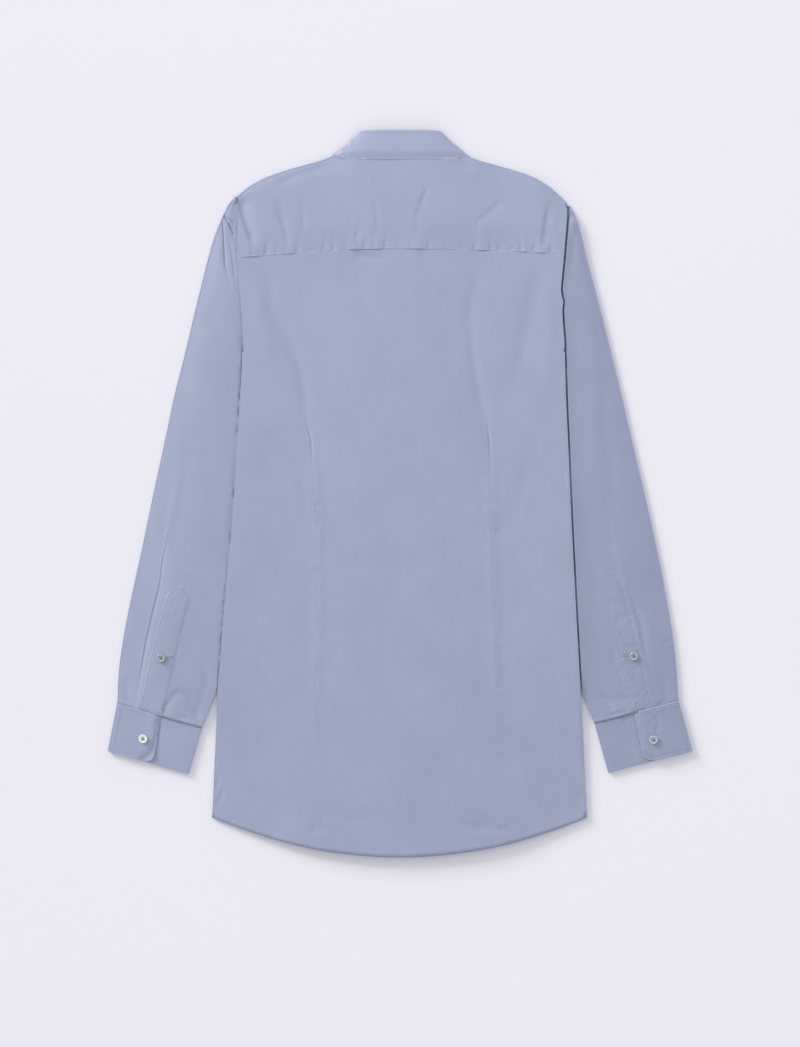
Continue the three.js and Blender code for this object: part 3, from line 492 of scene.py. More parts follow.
def clothFrom(nodeName, levels):
    quads = quadsOf(nodeName)
    crease = quads.edges.layers.float.new("crease_edge")
    for edge in quads.edges:
        if len(edge.link_faces) == 2 and edge.calc_face_angle(0.0) > math.radians(clothMaking["rimAngle"]):
            edge[crease] = clothMaking["rimCrease"]
    mesh = bpy.data.meshes.new(nodeName)
    quads.to_mesh(mesh)
    quads.free()
    holder = addObject("holder", mesh)
    rounding = holder.modifiers.new("rounding", "SUBSURF")
    rounding.levels = levels
    rounding.render_levels = levels
    first, *rest = nodeName.split("_")
    return applied(holder, first + "".join(word.title() for word in rest) + "Cloth")


def pointsOf(piece):
    points = np.empty(len(piece.data.vertices) * 3)
    piece.data.vertices.foreach_get("co", points)
    return points.reshape(-1, 3)


def treeOf(*pieces):
    # One search tree over the pieces' own points, which lie where the pieces lie
    vertices, faces = [], []
    for piece in pieces:
        start = len(vertices)
        vertices += [vertex.co for vertex in piece.data.vertices]
        faces += [[start + i for i in face.vertices] for face in piece.data.polygons]
    return BVHTree.FromPolygons(vertices, faces)


def heightAbove(tree, x, y):
    hit = tree.ray_cast(Vector((x, y, 0.1)), Vector((0, 0, -1)))[0]
    return hit.z if hit else None


def squareRims(piece, reach=1.6, depth=1.0):
    # Pressed edges are crisp: the rounding beside an edge comes up level with the cloth just inside it
    points = pointsOf(piece)
    normals = np.empty(len(points) * 3)
    piece.data.vertices.foreach_get("normal", normals)
    normals = normals.reshape(-1, 3)
    tree = treeOf(piece)
    level = np.hypot(normals[:, 0], normals[:, 1])
    for i in np.flatnonzero((level > 0.3) & (normals[:, 2] > 0.15)):
        inward = normals[i, :2] / level[i] * reach * mm
        top = heightAbove(tree, points[i, 0] - inward[0], points[i, 1] - inward[1])
        if top is not None and 0 < top - points[i, 2] < depth * mm:
            points[i, 2] = top
    putPoints(piece, points)


def fold(width, depth, *path, fade=(0.3, 0.3), sharp=1.0):
    # A trough, or with a depth below nothing a ridge, along points in millimetres on the photo's plane.
    # fade is the share of its length that each end takes, sharp the share of its width on the steep side.
    return {"width": width, "depth": depth, "path": path, "fade": fade, "sharp": sharp}


def alongPath(x, y, path):
    # Distance to the path, signed to its left, and how far along it the nearest point lies
    best = np.full(x.shape, 1e9)
    signed = np.zeros(x.shape)
    travelled = np.zeros(x.shape)
    lengths = [math.dist(a, b) for a, b in zip(path, path[1:])]
    total = sum(lengths)
    passed = 0.0
    for (ax, ay), (bx, by), length in zip(path, path[1:], lengths):
        dx, dy = (bx - ax) / length, (by - ay) / length
        along = np.clip((x - ax) * dx + (y - ay) * dy, 0, length)
        offX, offY = x - ax - along * dx, y - ay - along * dy
        away = np.hypot(offX, offY)
        side = np.sign(dx * (y - ay) - dy * (x - ax))
        near = away < best
        best = np.where(near, away, best)
        signed = np.where(near, away * side, signed)
        travelled = np.where(near, (passed + along) / total, travelled)
        passed += length
    return signed, travelled


def foldHeight(x, y, form):
    width, path = form["width"], form["path"]
    reach = 3 * width
    xs, ys = zip(*path)
    inside = (x > min(xs) - reach) & (x < max(xs) + reach) & (y > min(ys) - reach) & (y < max(ys) + reach)
    height = np.zeros(x.shape)
    if not inside.any():
        return height
    signed, along = alongPath(x[inside], y[inside], path)
    wide = np.where(signed < 0, width * form["sharp"], width)
    ends = np.ones(along.shape)
    for travelled, fade in zip((along, 1 - along), form["fade"]):
        if fade > 0:
            ends *= smoothStep(travelled / fade)
    height[inside] = -form["depth"] * ends * np.exp(-(signed / wide) ** 2)
    return height


def foldsHeight(x, y, forms):
    return sum(foldHeight(x, y, form) for form in forms)


def waviness(x, y, size, height, phase):
    # Gentle unevenness from a few crossed waves of unlike lengths
    total = np.zeros(x.shape)
    for i, turn in enumerate((0.3, 1.4, 2.2, 2.9)):
        length = size * (1 + 0.37 * i)
        total += np.sin((x * math.cos(turn) + y * math.sin(turn)) * 2 * math.pi / length + phase + 1.7 * i)
    return height * total / 4


# The yoke's gathers: where the topstitched seam draws the cloth up, and how far each runs
seamTucks = [    # where along the seam, how far up, how deep
    (-171, 16, 0.42), (-155, 26, 0.45), (-142, 13, 0.30), (-133, 11, 0.22), (-119, 17, 0.34),
    (-103, 12, 0.24), (-89, 20, 0.36), (-77, 22, 0.38), (-63, 11, 0.22), (-42, 18, 0.42),
    (-30, 15, 0.34), (-18, 19, 0.38), (-4, 9, 0.18), (12, 12, 0.24), (31, 18, 0.38), (52, 10, 0.20),
    (70, 12, 0.24), (84, 14, 0.30), (104, 17, 0.42), (113, 15, 0.36), (126, 12, 0.26), (139, 20, 0.40),
    (153, 14, 0.30), (172, 16, 0.38),
]
yokeDrags = [
    fold(8.0, 2.4, (-186, 341), (-177, 312), (-166, 281), fade=(0.2, 0.3), sharp=0.45),
    fold(6.0, 1.1, (-146, 346), (-134, 308), (-125, 282), fade=(0.5, 0.3), sharp=0.5),
    fold(5.0, 0.4, (-114, 344), (-111, 318), (-112, 294), sharp=0.5),
    fold(6.0, 0.7, (-73, 337), (-49, 300), (-53, 282), fade=(0.5, 0.3), sharp=0.5),
    fold(5.0, 0.5, (-31, 346), (-27, 318), (-28, 286), fade=(0.5, 0.3), sharp=0.5),
    fold(3.6, 0.6, (32, 352), (22, 330), sharp=0.5),
    fold(6.5, 0.55, (28, 345), (19, 318), (21, 286), fade=(0.4, 0.4), sharp=0.5),
    fold(6.0, 0.55, (124, 342), (90, 313), (87, 301), sharp=0.5),
    fold(6.5, 1.0, (172, 340), (167, 305), (163, 279), fade=(0.4, 0.3), sharp=0.5),
    fold(5.0, 0.4, (180, 322), (184, 300)),
    fold(5.0, 0.6, (-150, 351), (-112, 368), (-72, 379)),
    fold(5.0, 0.5, (150, 351), (110, 370), (76, 378)),
]
backDrags = [
    fold(7.0, 0.8, (-173, 268), (-152, 238), (-148, 214), (-113, 142), (-103, 70)),
    fold(8.0, -0.5, (-172, 250), (-160, 205), (-147, 150)),
    fold(6.0, 0.6, (-76, 266), (-52, 240), (-28, 216)),
    fold(5.0, 0.7, (-58, 275), (-12, 269)),
    fold(6.0, 0.6, (89, 270), (78, 195), (88, 135), (103, 60)),
    fold(9.0, 0.8, (163, 272), (145, 190), (134, 118)),
    fold(8.0, -0.5, (169, 250), (171, 180), (169, 106)),
    fold(13.0, 0.6, (-94, -84), (-20, -80), (54, -86)),
    fold(10.0, 0.5, (-160, 60), (-128, -20), (-108, -75)),
    fold(10.0, 0.5, (150, 40), (128, -30), (112, -60)),
    fold(16.0, 0.4, (-60, -200), (0, -212), (70, -204)),
    fold(1.5, 0.45, (-100, -12.5), (-76, -12.5)),
    fold(1.5, 0.35, (90, -12), (106, -11)),
    fold(2.6, 0.4, (83, -34), (104, -47)),
    fold(2.6, 0.4, (122, -32), (107, -50)),
    fold(2.0, 1.0, (-112, -391), (-94, -384), (-76, -385)),
    fold(2.0, 0.8, (-102, -378), (-84, -374)),
    fold(2.4, 1.0, (56, -376), (82, -383), (112, -384), (137, -383)),
    fold(2.4, 0.5, (88, -375), (118, -372)),
    fold(1.4, 0.5, (-60, -404), (-20, -411), (20, -411)),
    fold(8.0, 0.6, (-108, -361), (-60, -372), (-12, -370)),
    fold(6.0, 0.5, (-190, -330), (-150, -352), (-120, -372)),
    fold(2.0, 0.6, (-214, -362), (-206, -350), (-203, -338)),
    fold(2.0, 0.4, (-212, -340), (-207, -322)),
    fold(2.0, 0.6, (214, -368), (206, -358), (199, -352)),
    fold(1.8, 0.4, (212, -352), (204, -345)),
]
hem = {"middle": -417.5, "rise": 46.0, "halfWidth": 216.0, "turned": 7.0, "height": 0.22}
dartLines = {
    "left": [
        (-110, 94), (-102, 62), (-98, -2), (-95, -35), (-94.5, -120), (-95.5, -212), (-97, -261),
        (-94, -300),
    ],
    "right": [
        (99, 96), (103.5, 52), (104.5, -12), (106, -70), (110, -140), (110.5, -212), (113.5, -245),
        (118, -302),
    ],
}
dart = {
    "width": 1.2, "depth": 0.06, "tipDepth": 0.6, "welt": 3.0, "weltHeight": 0.03,
    "ripples": 14, "rippleWidth": 1.9, "rippleDepth": 0.3,
    "fillWidth": 7.0, "fill": 0.72,     # pressing takes out most of the wide dip beside the seam
}


tuckForm = {"fade": 1.3, "lean": 0.2, "steepSide": 1.2, "gentleSide": 3.4, "strength": 2.0, "flat": 2.6}


def tuckHeight(x, y, seamAt):
    # Small gathers run up from the seam onto the yoke
    above = y - seamAt
    total = np.zeros(x.shape)
    for i, (at, up, depth) in enumerate(seamTucks):
        fade = np.clip(1 - np.abs(above) / up, 0, 1) ** tuckForm["fade"]
        away = x - at - tuckForm["lean"] * math.sin(2.3 * i) * above
        wide = np.where(away < 0, tuckForm["steepSide"], tuckForm["gentleSide"])
        total -= tuckForm["strength"] * depth * fade * np.exp(-(away / wide) ** 2)
    # At the seam itself the cloth lies flat
    return total * smoothStep((above + 0.3) / tuckForm["flat"])


def dartHeight(x, y):
    total = np.zeros(x.shape)
    for side, line in dartLines.items():
        signed, along = alongPath(x, y, line)
        ends = smoothStep(along / 0.08) * smoothStep((1 - along) / 0.4)
        nearTip = np.exp(-((along - 0.08) / 0.055) ** 2)
        uneven = 0.75 + 0.25 * np.sin(y / 9.0 + 2.0 * np.sin(y / 23.0))
        depth = dart["depth"] * uneven + dart["tipDepth"] * nearTip
        total -= depth * ends * np.exp(-(signed / dart["width"]) ** 2)
        total += dart["weltHeight"] * ends * np.exp(-((np.abs(signed) - dart["welt"]) / 2.2) ** 2)
        fill = dart["fill"] * smoothStep((60 - y) / 60)
        total += fill * ends * np.exp(-(signed / dart["fillWidth"]) ** 2)
        for i in range(dart["ripples"]):
            # Short ripples that the dart's stitching draws in, now on one side and now on the other
            middle = line[0][1] - 74 - 18.5 * i - 5 * math.sin(2.1 * i)
            hand = 1 if (i * 5 + (side == "left")) % 3 else -1
            lineX = np.interp(middle, *zip(*[(py, px) for px, py in reversed(line)]))
            reach = 9 + 5 * math.sin(1.3 * i + (2 if side == "left" else 0))
            end = (lineX + hand * reach, middle + 0.35 * math.sin(2.7 * i) * reach)
            ripple = fold(
                dart["rippleWidth"], dart["rippleDepth"], (lineX + hand * 1.5, middle), end, fade=(0, 0.8),
            )
            total += foldHeight(x, y, ripple)
    return total


def yokeSeamAt(x):
    return np.interp(x, *zip(
        (-190, 270.5), (-113, 276.5), (-50, 280.3), (0, 281), (93, 279.5), (148, 277.3), (195, 275),
    ))


def hemAt(x):
    return hem["middle"] + hem["rise"] * (x / hem["halfWidth"]) ** 2


def bodyRelief(x, y):
    total = tuckHeight(x, y, yokeSeamAt(x)) + dartHeight(x, y) + foldsHeight(x, y, yokeDrags + backDrags)
    # The turned hem is two layers thicker and ends in a small step
    total += hem["height"] * smoothStep((hem["turned"] - (y - hemAt(x))) / 1.6)
    inside = smoothStep((178 - np.abs(x)) / 20)
    return total + inside * waviness(x, y, 62, 0.26, 0.4)


# The sleeves' folds, and the step where each cuff pleat runs up the sleeve
sleeveFolds = [
    fold(0.7, 1.3, (-203, 322), (-196, 315), (-189, 309), fade=(0.1, 0.2)),
    fold(0.8, 2.2, (-203, 320), (-197, 311), (-190, 296), fade=(0.1, 0.1)),
    fold(0.7, 1.3, (-204, 318), (-203, 300), (-201, 262), (-194, 236), fade=(0.1, 0.5)),
    fold(4.0, 0.5, (-204, 312), (-201, 262), (-194, 230)),
    fold(2.0, 0.6, (-198, 300), (-194, 280), (-188, 236), sharp=0.5),
    fold(3.0, 0.6, (-186, 180), (-178, 163), (-173, 156)),
    fold(9.0, 0.35, (-232, 240), (-244, 150), (-252, 80)),
    fold(8.0, 0.5, (-243, 90), (-248, 0), (-266, -88)),
    fold(7.0, 0.3, (-282, 20), (-292, -60), (-308, -150)),
    fold(8.0, 0.85, (-259.5, -2), (-265.5, -43), (-272.5, -76), (-276, -103), (-281.5, -125),
         (-291.5, -168), (-300.5, -220), (-301, -238), fade=(0.5, 0.25), sharp=0.08),
    fold(5.0, 0.9, (-253, -222), (-263, -234), (-274, -249), fade=(0.2, 0.2), sharp=0.35),
    fold(5.0, 0.9, (-227, -262), (-239, -237), (-253, -222), fade=(0.2, 0.2), sharp=0.35),
    fold(0.7, 1.2, (-275, -247.3), (-251, -256.3), (-225.6, -265.7), fade=(0.1, 0.1)),
    fold(5.0, 0.45, (-226, -180), (-222, -215), (-232, -250), fade=(0.5, 0)),
    fold(4.0, 0.4, (-312, -200), (-314, -238), fade=(0.6, 0)),
    fold(1.6, 0.3, (-271, -180.5), (-260, -181)),
    fold(1.6, 0.3, (-271, -192), (-260, -191.5)),
    fold(4.0, 0.5, (203, 316), (200, 285), (194, 240)),
    fold(3.0, 0.5, (196, 322), (192, 296)),
    fold(7.5, 0.55, (228, 160), (243, -5), (250, -43), (255, -88)),
    fold(10.0, 0.3, (222, 215), (252, 90), (276, -10)),
    fold(7.0, 0.3, (292, -40), (300, -120), (306, -180)),
    fold(8.0, 0.3, (205, 20), (222, -80), (232, -160)),
    fold(3.6, 0.55, (224, -214), (238, -236), (246, -256), fade=(0.5, 0)),
    fold(4.0, 0.45, (300, -205), (306, -236), fade=(0.6, 0)),
    fold(1.5, 0.5, (256, -176.5), (270, -176.5)),
    fold(1.5, 0.5, (256, -194), (270, -194.4)),
    fold(2.2, 0.6, (244, -148), (255, -144), (264.5, -138)),
    fold(2.0, 0.5, (238.6, -128), (251.6, -123.5)),
    fold(4.0, 0.6, (244, -171), (246, -194), (260, -214)),
    fold(2.0, 0.6, (300.5, -172.3), (313.4, -168.5)),
    fold(4.0, 0.5, (218.5, -232.6), (244.4, -237), (269, -234)),
    fold(1.5, 0.6, (293.8, -242), (308, -237)),
    fold(1.4, 0.6, (296, -245.5), (300.5, -238.4)),
    fold(5.5, 0.9, (260, -104), (276, -150.7), (280, -176.5), (290, -215), sharp=0.45),
    fold(2.4, 0.5, (260, -196.7), (277.5, -202.4)),
    fold(0.7, 1.2, (219.7, -257.6), (245, -252.8), (269, -248.4), fade=(0.1, 0.1)),
]

# The cuffs' creases beside their laps
cuffFolds = [
    fold(1.1, 0.7, (-275.5, -252), (-276.2, -259.3), (-275.6, -271.4), (-280.5, -279), (-283.4, -289.8),
         (-288.9, -300), (-297.5, -305), fade=(0.1, 0.2)),
    fold(1.3, 0.7, (270.3, -254), (274.5, -268), (278.5, -286), (284.6, -302)),
    fold(1.7, 0.6, (294.7, -251), (296, -265.7), (293.3, -277)),
]


def sleeveRelief(x, y):
    return foldsHeight(x, y, sleeveFolds) + waviness(x, y, 55, 0.2, 1.9)


def cuffRelief(x, y):
    return foldsHeight(x, y, cuffFolds) + waviness(x, y, 34, 0.1, 0.7)


def putPoints(piece, points):
    piece.data.vertices.foreach_set("co", points.ravel())
    piece.data.update()


def liftTop(piece, reliefAt, layer=1.5):
    # Only the uppermost layer of cloth follows the folds; what lies under it stays flat
    points = pointsOf(piece)
    tree = treeOf(piece)
    heights = reliefAt(points[:, 0] / mm, points[:, 1] / mm) * mm
    for i, (x, y, z) in enumerate(points):
        top = heightAbove(tree, x, y)
        under = 0.0 if top is None else (top - z) / mm - layer
        points[i, 2] = z + heights[i] * (1 - min(1.0, max(0.0, under / 0.5)))
    putPoints(piece, points)


# Pressing: seams and laps lie flat on the cloth below them, and their walls thin out there

pressed = {
    "gap": 0.08, "walls": 1.0, "lapGap": 0.41,
    "yokeReach": 34.0, "yokeDrop": 1.48, "yokeThin": 0.96, "backDip": 0.35,
    "facingEdge": 0.03, "facingWall": 0.2, "facingReach": 6,
}


def upperRim(nodeName):
    # The edge of a piece's upper face as the CAD has it: a closed loop of points, in millimetres
    rim = bmesh.new()
    rim.from_mesh(frame["nodes"][nodeName].data)
    bmesh.ops.remove_doubles(rim, verts=rim.verts, dist=clothMaking["mergeDistance"])
    loops = {}
    for edge in rim.edges:
        rises = sorted(face.normal.z for face in edge.link_faces)
        if len(rises) == 2 and rises[0] < 0.45 and rises[1] > 0.55:
            for a, b in (edge.verts, reversed(edge.verts)):
                loops.setdefault(a.index, []).append(b.index)
    places = {vertex.index: tuple(vertex.co / mm) for vertex in rim.verts}
    rim.free()
    chains = []
    while loops:
        chain = [next((i for i, near in loops.items() if len(near) == 1), next(iter(loops)))]
        while loops.get(chain[-1]):
            following = loops[chain[-1]].pop()
            loops[following].remove(chain[-1])
            chain.append(following)
        loops = {i: near for i, near in loops.items() if near}
        chains.append([places[i] for i in chain])
    return max(chains, key=len)


def pressDown(piece, under, wallAt):
    # Brings a piece down onto the cloth under it, its wall as thick as wallAt gives
    points = pointsOf(piece)
    support = treeOf(under)
    walls = wallAt(points[:, 0] / mm, points[:, 1] / mm)
    for i, (x, y, z) in enumerate(points):
        low = heightAbove(support, x, y)
        if low is not None and z > low:
            share = min(1.0, max(0.0, ((z - low) / mm - pressed["lapGap"]) / pressed["walls"]))
            points[i, 2] = low + (pressed["gap"] + share * walls[i]) * mm
    putPoints(piece, points)


def facingWall(outline):
    # How thick a facing is over a point: thin at its outline, a little thicker inside it
    def wallAt(x, y):
        inside = np.abs(alongPath(x, y, outline)[0]) / pressed["facingReach"]
        return pressed["facingEdge"] + pressed["facingWall"] * smoothStep(inside)
    return wallAt


def pressYoke(piece):
    # The yoke comes down gently to its seam, where its wall ends thin on the back
    points = pointsOf(piece)
    tree = treeOf(piece)
    x, y = points[:, 0] / mm, points[:, 1] / mm
    share = smoothStep((yokeSeamAt(x) + pressed["yokeReach"] - y) / pressed["yokeReach"])
    for i in np.flatnonzero(share > 0.001):
        top = heightAbove(tree, points[i, 0], points[i, 1] + 1.5 * mm)
        under = 0.0 if top is None else (top - points[i, 2]) / mm
        if under < 1.6:
            drop = pressed["yokeDrop"] - pressed["yokeThin"] * min(1.0, max(0.0, under))
            points[i, 2] -= share[i] * drop * mm
    putPoints(piece, points)


def dipUnderYoke(piece):
    # The back's top edge lies a little lower, clear of the yoke over it
    points = pointsOf(piece)
    x, y, z = points.T / mm
    beyond = y - yokeSeamAt(x)
    share = smoothStep((beyond - 0.3) / 1.5) * smoothStep((z - 5.2) / 0.4)
    points[:, 2] -= pressed["backDip"] * share * mm
    putPoints(piece, points)


# Millimetres, but for neck's lower, a share of the height, and shoulder's outline, a direction
collar = {
    "drop": 1.56, "topDrop": 0.75, "leafEdge": 386, "thin": 1.1, "thinBelow": 394,
    "drawIn": 2.4, "drawBelow": 4, "drawBeyond": 70,
}
neck = {"besideAt": 74, "width": 13, "up": 3.0, "lower": 0.16}
shoulder = {"corner": (-187.4, 339.5), "reach": 4.5, "outline": (-0.73, -0.68)}


def settleCollar(piece):
    # The leaf and the stand within it lie lower than they were cut, down to the yoke
    points = pointsOf(piece)
    x, y, z = points.T / mm
    out = np.abs(x)
    depth = collar["drop"] + collar["topDrop"] * smoothStep((y - collar["leafEdge"]) / 28)
    upper = 9.6 - 1.2 * smoothStep((out - 40) / 26) - 2.2 * smoothStep((out - 66) / 10)
    thin = collar["thin"] * smoothStep((collar["thinBelow"] - y) / 10) * smoothStep((z - upper) / 0.8)
    # At its ends the leaf's lower layer draws in under the upper one
    low = smoothStep((collar["drawBelow"] - z) / 1.5)
    atEnds = smoothStep((y - 368) / 8) * smoothStep((out - collar["drawBeyond"]) / 8)
    points[:, 0] -= np.sign(x) * collar["drawIn"] * low * atEnds * mm
    points[:, 2] -= (depth + thin) * smoothStep((z - 3) / 4) * mm
    putPoints(piece, points)


def fillNeck(piece):
    # The yoke's neck edge runs up under the leaf's ends, so nothing dark shows between them
    points = pointsOf(piece)
    x, y = points[:, 0] / mm, points[:, 1] / mm
    beside = np.exp(-((np.abs(x) - neck["besideAt"]) / neck["width"]) ** 2)
    points[:, 1] += neck["up"] * beside * smoothStep((y - 374) / 6) * mm
    points[:, 2] *= 1 - neck["lower"] * beside * smoothStep((y - 364) / 20)
    putPoints(piece, points)


def closeShoulder(piece, pull):
    # Draws a piece along the outline to the corner where the yoke and the left sleeve's head meet
    points = pointsOf(piece)
    away = np.hypot(*(points[:, :2] / mm - shoulder["corner"]).T)
    share = np.exp(-(away / shoulder["reach"]) ** 2)
    points[:, :2] += pull * share[:, None] * shoulder["outline"] * mm
    putPoints(piece, points)


# The edges of the cuffs' laps, which thin out onto the cuff's under side
lapEdges = {
    "left_cuff": [(-275, -251), (-276.5, -275), (-283, -296), (-295, -306)],
    "right_cuff": [(270, -251), (273, -275), (277, -297), (289, -306)],
}


def thinLap(piece, edge, thin=1.15, reach=9.0):
    points = pointsOf(piece)
    away = np.abs(alongPath(points[:, 0] / mm, points[:, 1] / mm, edge)[0])
    upper = smoothStep((points[:, 2] / mm - 3.9) / 0.9)
    points[:, 2] -= thin * smoothStep(1 - away / reach) * upper * mm
    putPoints(piece, points)


def meetCuff(piece, cuffTop, ceiling, push=1.5, reach=11.0):
    # Carries a sleeve's end just under the cuff that holds it
    (ax, ay), (bx, by) = cuffTop
    length = math.hypot(bx - ax, by - ay)
    normalX, normalY = (by - ay) / length, -(bx - ax) / length
    if normalY > 0:
        normalX, normalY = -normalX, -normalY
    points = pointsOf(piece)
    away = -((points[:, 0] / mm - ax) * normalX + (points[:, 1] / mm - ay) * normalY)
    share = smoothStep(1 - away / reach)
    points[:, 0] += share * push * normalX * mm
    points[:, 1] += share * push * normalY * mm
    points[:, 2] -= share * np.clip(points[:, 2] - ceiling * mm, 0, None)
    putPoints(piece, points)


# The body's edges stand clear of the sleeves: a dark slot on the right, a thin line on the left
rightEdge = [
    (331, 192.6), (315, 192.1), (298, 190.7), (283.5, 189.5), (269, 188.4), (252, 186.7), (246, 186.1),
    (234.6, 184.9), (227.4, 186.1), (220, 187.7), (211.6, 186.6), (200, 187.2), (177, 188.9), (154, 189.8),
    (115, 190.8), (40, 194.1), (-34.5, 197.3), (-120, 201.7), (-218.5, 207.1), (-369, 214.8),
]
edgeReach = 10.0
slots = {
    "right": {
        "width": 1.3, "wall": 0.4, "press": 0.97, "lip": 2.7, "lipLength": 14.0,
        "rows": (-235, 322), "fade": 12,
    },
    "left": {
        "width": 0.5, "wall": 0.6, "press": 0.3, "lip": 0.0, "lipLength": 1.0,
        "rows": (-238, 185), "fade": 45,
    },
}


def rightEdgeAt(y):
    ys, xs = zip(*reversed(rightEdge))
    return np.interp(y, ys, xs) - 0.2


def outlineX(piece, hand):
    # How far a piece reaches to the right, or with hand -1 to the left, row by row
    points = pointsOf(piece) / mm
    rows = np.arange(-420, 345, 3.0)
    reach = np.array([
        (hand * points[np.abs(points[:, 1] - row) < 4.5, 0]).max(initial=-999.0) for row in rows
    ])
    known = reach > 0
    return rows[known], hand * reach[known]


def alignRightEdge(piece):
    rows, reach = outlineX(piece, 1)
    points = pointsOf(piece)
    x, y = points[:, 0] / mm, points[:, 1] / mm
    outer = np.interp(y, rows, reach)
    share = smoothStep(1 - (outer - x) / edgeReach) * smoothStep((y + 395) / 30) * smoothStep((334 - y) / 6)
    points[:, 0] += share * (rightEdgeAt(y) - outer) * mm
    putPoints(piece, points)


def cutSlot(piece, edgeX, hand, form):
    # The sleeve dips beside the body's edge and rises again beyond it
    points = pointsOf(piece)
    tree = treeOf(piece)
    x, y = points[:, 0] / mm, points[:, 1] / mm
    beyond = hand * (x - edgeX(y))
    dip = smoothStep((form["width"] + form["wall"] - beyond) / form["wall"]) * smoothStep((beyond + 3) / 2)
    falling = np.exp(-np.clip(beyond - 2.5, 0, None) / form["lipLength"])
    lip = smoothStep((beyond - form["width"]) / 1.2) * falling
    lowest, highest = form["rows"]
    inSleeve = smoothStep((y - lowest) / 40) * smoothStep((highest - y) / form["fade"])
    for i in np.flatnonzero((beyond > -3) & (beyond < 70) & (inSleeve > 0)):
        top = heightAbove(tree, points[i, 0], points[i, 1])
        isUpper = top is None or (top - points[i, 2]) / mm < 1.6
        lifted = points[i, 2] + isUpper * inSleeve[i] * lip[i] * form["lip"] * mm
        points[i, 2] = lifted * (1 - inSleeve[i] * dip[i] * form["press"])
    putPoints(piece, points)


def drawnIn(x, y):
    # Where the sewing crumples the cloth, from 0 to 1
    total = np.full(x.shape, 0.07)
    for line in dartLines.values():
        signed, along = alongPath(x, y, line)
        total += 0.22 * smoothStep(along / 0.1) * np.exp(-(signed / 12) ** 2)
    total += 0.2 * np.exp(-((y - yokeSeamAt(x) - 6) / 10) ** 2) * (np.abs(x) < 195)
    # Along these paths: how wide, how much
    for path, width, amount in (
        ([(-252, -99), (-268, -180), (-275, -250)], 17, 0.2),
        ([(244, -95), (262, -180), (272, -250)], 22, 0.5),
        ([(-325, -240), (-228, -268)], 10, 0.3),
        ([(320, -237), (223, -263)], 12, 0.5),
        ([(-200, 320), (-196, 240)], 10, 0.2),
        ([(-212, -372), (0, -418), (212, -372)], 9, 0.2),
        ([(-281, -250), (-285, -305)], 6, 0.45),
        ([(268, -250), (277, -305)], 8, 0.5),
    ):
        total += amount * np.exp(-(alongPath(x, y, path)[0] / width) ** 2)
    return np.clip(total, 0, 1)


def finishCloth(piece, material, nodeName, slotName):
    piece.data.materials.clear()
    piece.data.materials.append(material)
    points = pointsOf(piece) / mm
    crumple = piece.data.attributes.new("crumple", "FLOAT", "POINT")
    crumple.data.foreach_set("value", drawnIn(points[:, 0], points[:, 1]))
    piece.data.shade_smooth()
    piece.data.set_sharp_from_angle(angle=math.radians(55))
    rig.ride(piece, "root")
    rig.replaces(piece, nodeName)
    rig.slot(piece, slotName)


# Each panel: how finely it is rounded, its folds, its cut as (width, length) and area, what it lies on
onFronts, onFloor = ["left_front", "right_front"], ["floor"]
panelColumns = ("levels", "relief", "cloth", "slot", "cut", "area", "restsOn")
panels = {name: dict(zip(panelColumns, row)) for name, *row in (
    ("back", 2, bodyRelief, bodyCloth, "shirting", (0.54, 0.71), 0.327, onFronts),
    ("yoke", 3, bodyRelief, bodyCloth, "shirting", (0.40, 0.17), 0.046, onFronts),
    ("left_front", 2, None, bodyCloth, "shirting", (0.165, 0.77), 0.098, onFloor),
    ("right_front", 2, None, bodyCloth, "shirting", (0.20, 0.77), 0.121, onFloor),
    ("front_band", 2, None, bodyCloth, "shirting", (0.035, 0.715), 0.0241, onFloor),
    ("collar_stand", 2, None, collarCloth, "interlined", (0.42, 0.036), 0.0095, onFloor),
    ("collar_leaf", 3, None, collarCloth, "interlined", (0.42, 0.062), 0.0162, onFloor),
    ("left_sleeve", 2, sleeveRelief, leftSleeveCloth, "shirting", (0.30, 0.62), 0.124, onFloor),
    ("right_sleeve", 2, sleeveRelief, shadedRightSleeveCloth, "shirting", (0.30, 0.61), 0.117, onFloor),
    ("left_sleeve_facing", 3, sleeveRelief, leftSleeveCloth, "shirting", (0.027, 0.150), 0.0039,
     ["left_sleeve"]),
    ("right_sleeve_facing", 3, sleeveRelief, shadedRightSleeveCloth, "shirting", (0.027, 0.150), 0.0037,
     ["right_sleeve"]),
    ("left_cuff", 3, cuffRelief, leftSleeveCloth, "interlined", (0.236, 0.057), 0.0126, onFloor),
    ("right_cuff", 3, cuffRelief, shadedRightSleeveCloth, "interlined", (0.236, 0.059), 0.0134, onFloor),
)}
cuffTops = {
    "left": [(-325.0, -240.4), (-227.6, -268.0)],
    "right": [(319.8, -237.1), (223.3, -262.9)],
}
ceilings = {"sleeve": 4.75, "facing": 5.2}    # how high each may reach under its cuff


leftRows, leftReach = outlineX(frame["nodes"]["back"], -1)


def leftEdgeAt(y):
    return np.interp(y, leftRows, leftReach)


def isOpenBack(x, y, z):
    return (y > hemAt(x) + 3) & (y < 290) & (np.abs(x) < np.where(y > -300, 190, 212))


def isNearSewing(x, y, z):
    # Strips beside the darts and the yoke seam, where the folds are smallest
    near = np.abs(y - yokeSeamAt(x) + 4) < 7
    for line in dartLines.values():
        dartX, dartY = np.array(line[::-1]).T
        near |= (np.abs(x - np.interp(y, dartY, dartX)) < 9) & (y > -305) & (y < 100)
    return near


def nearSlot(low, high):
    # A strip of sleeve along the body's edge, from low to high millimetres outside it
    def isNear(x, y, z):
        beyond = np.where(x > 0, x - rightEdgeAt(y), leftEdgeAt(y) - x)
        return (beyond > low) & (beyond < high) & (y > -240) & (y < np.where(x > 0, 330, 190))
    return isNear


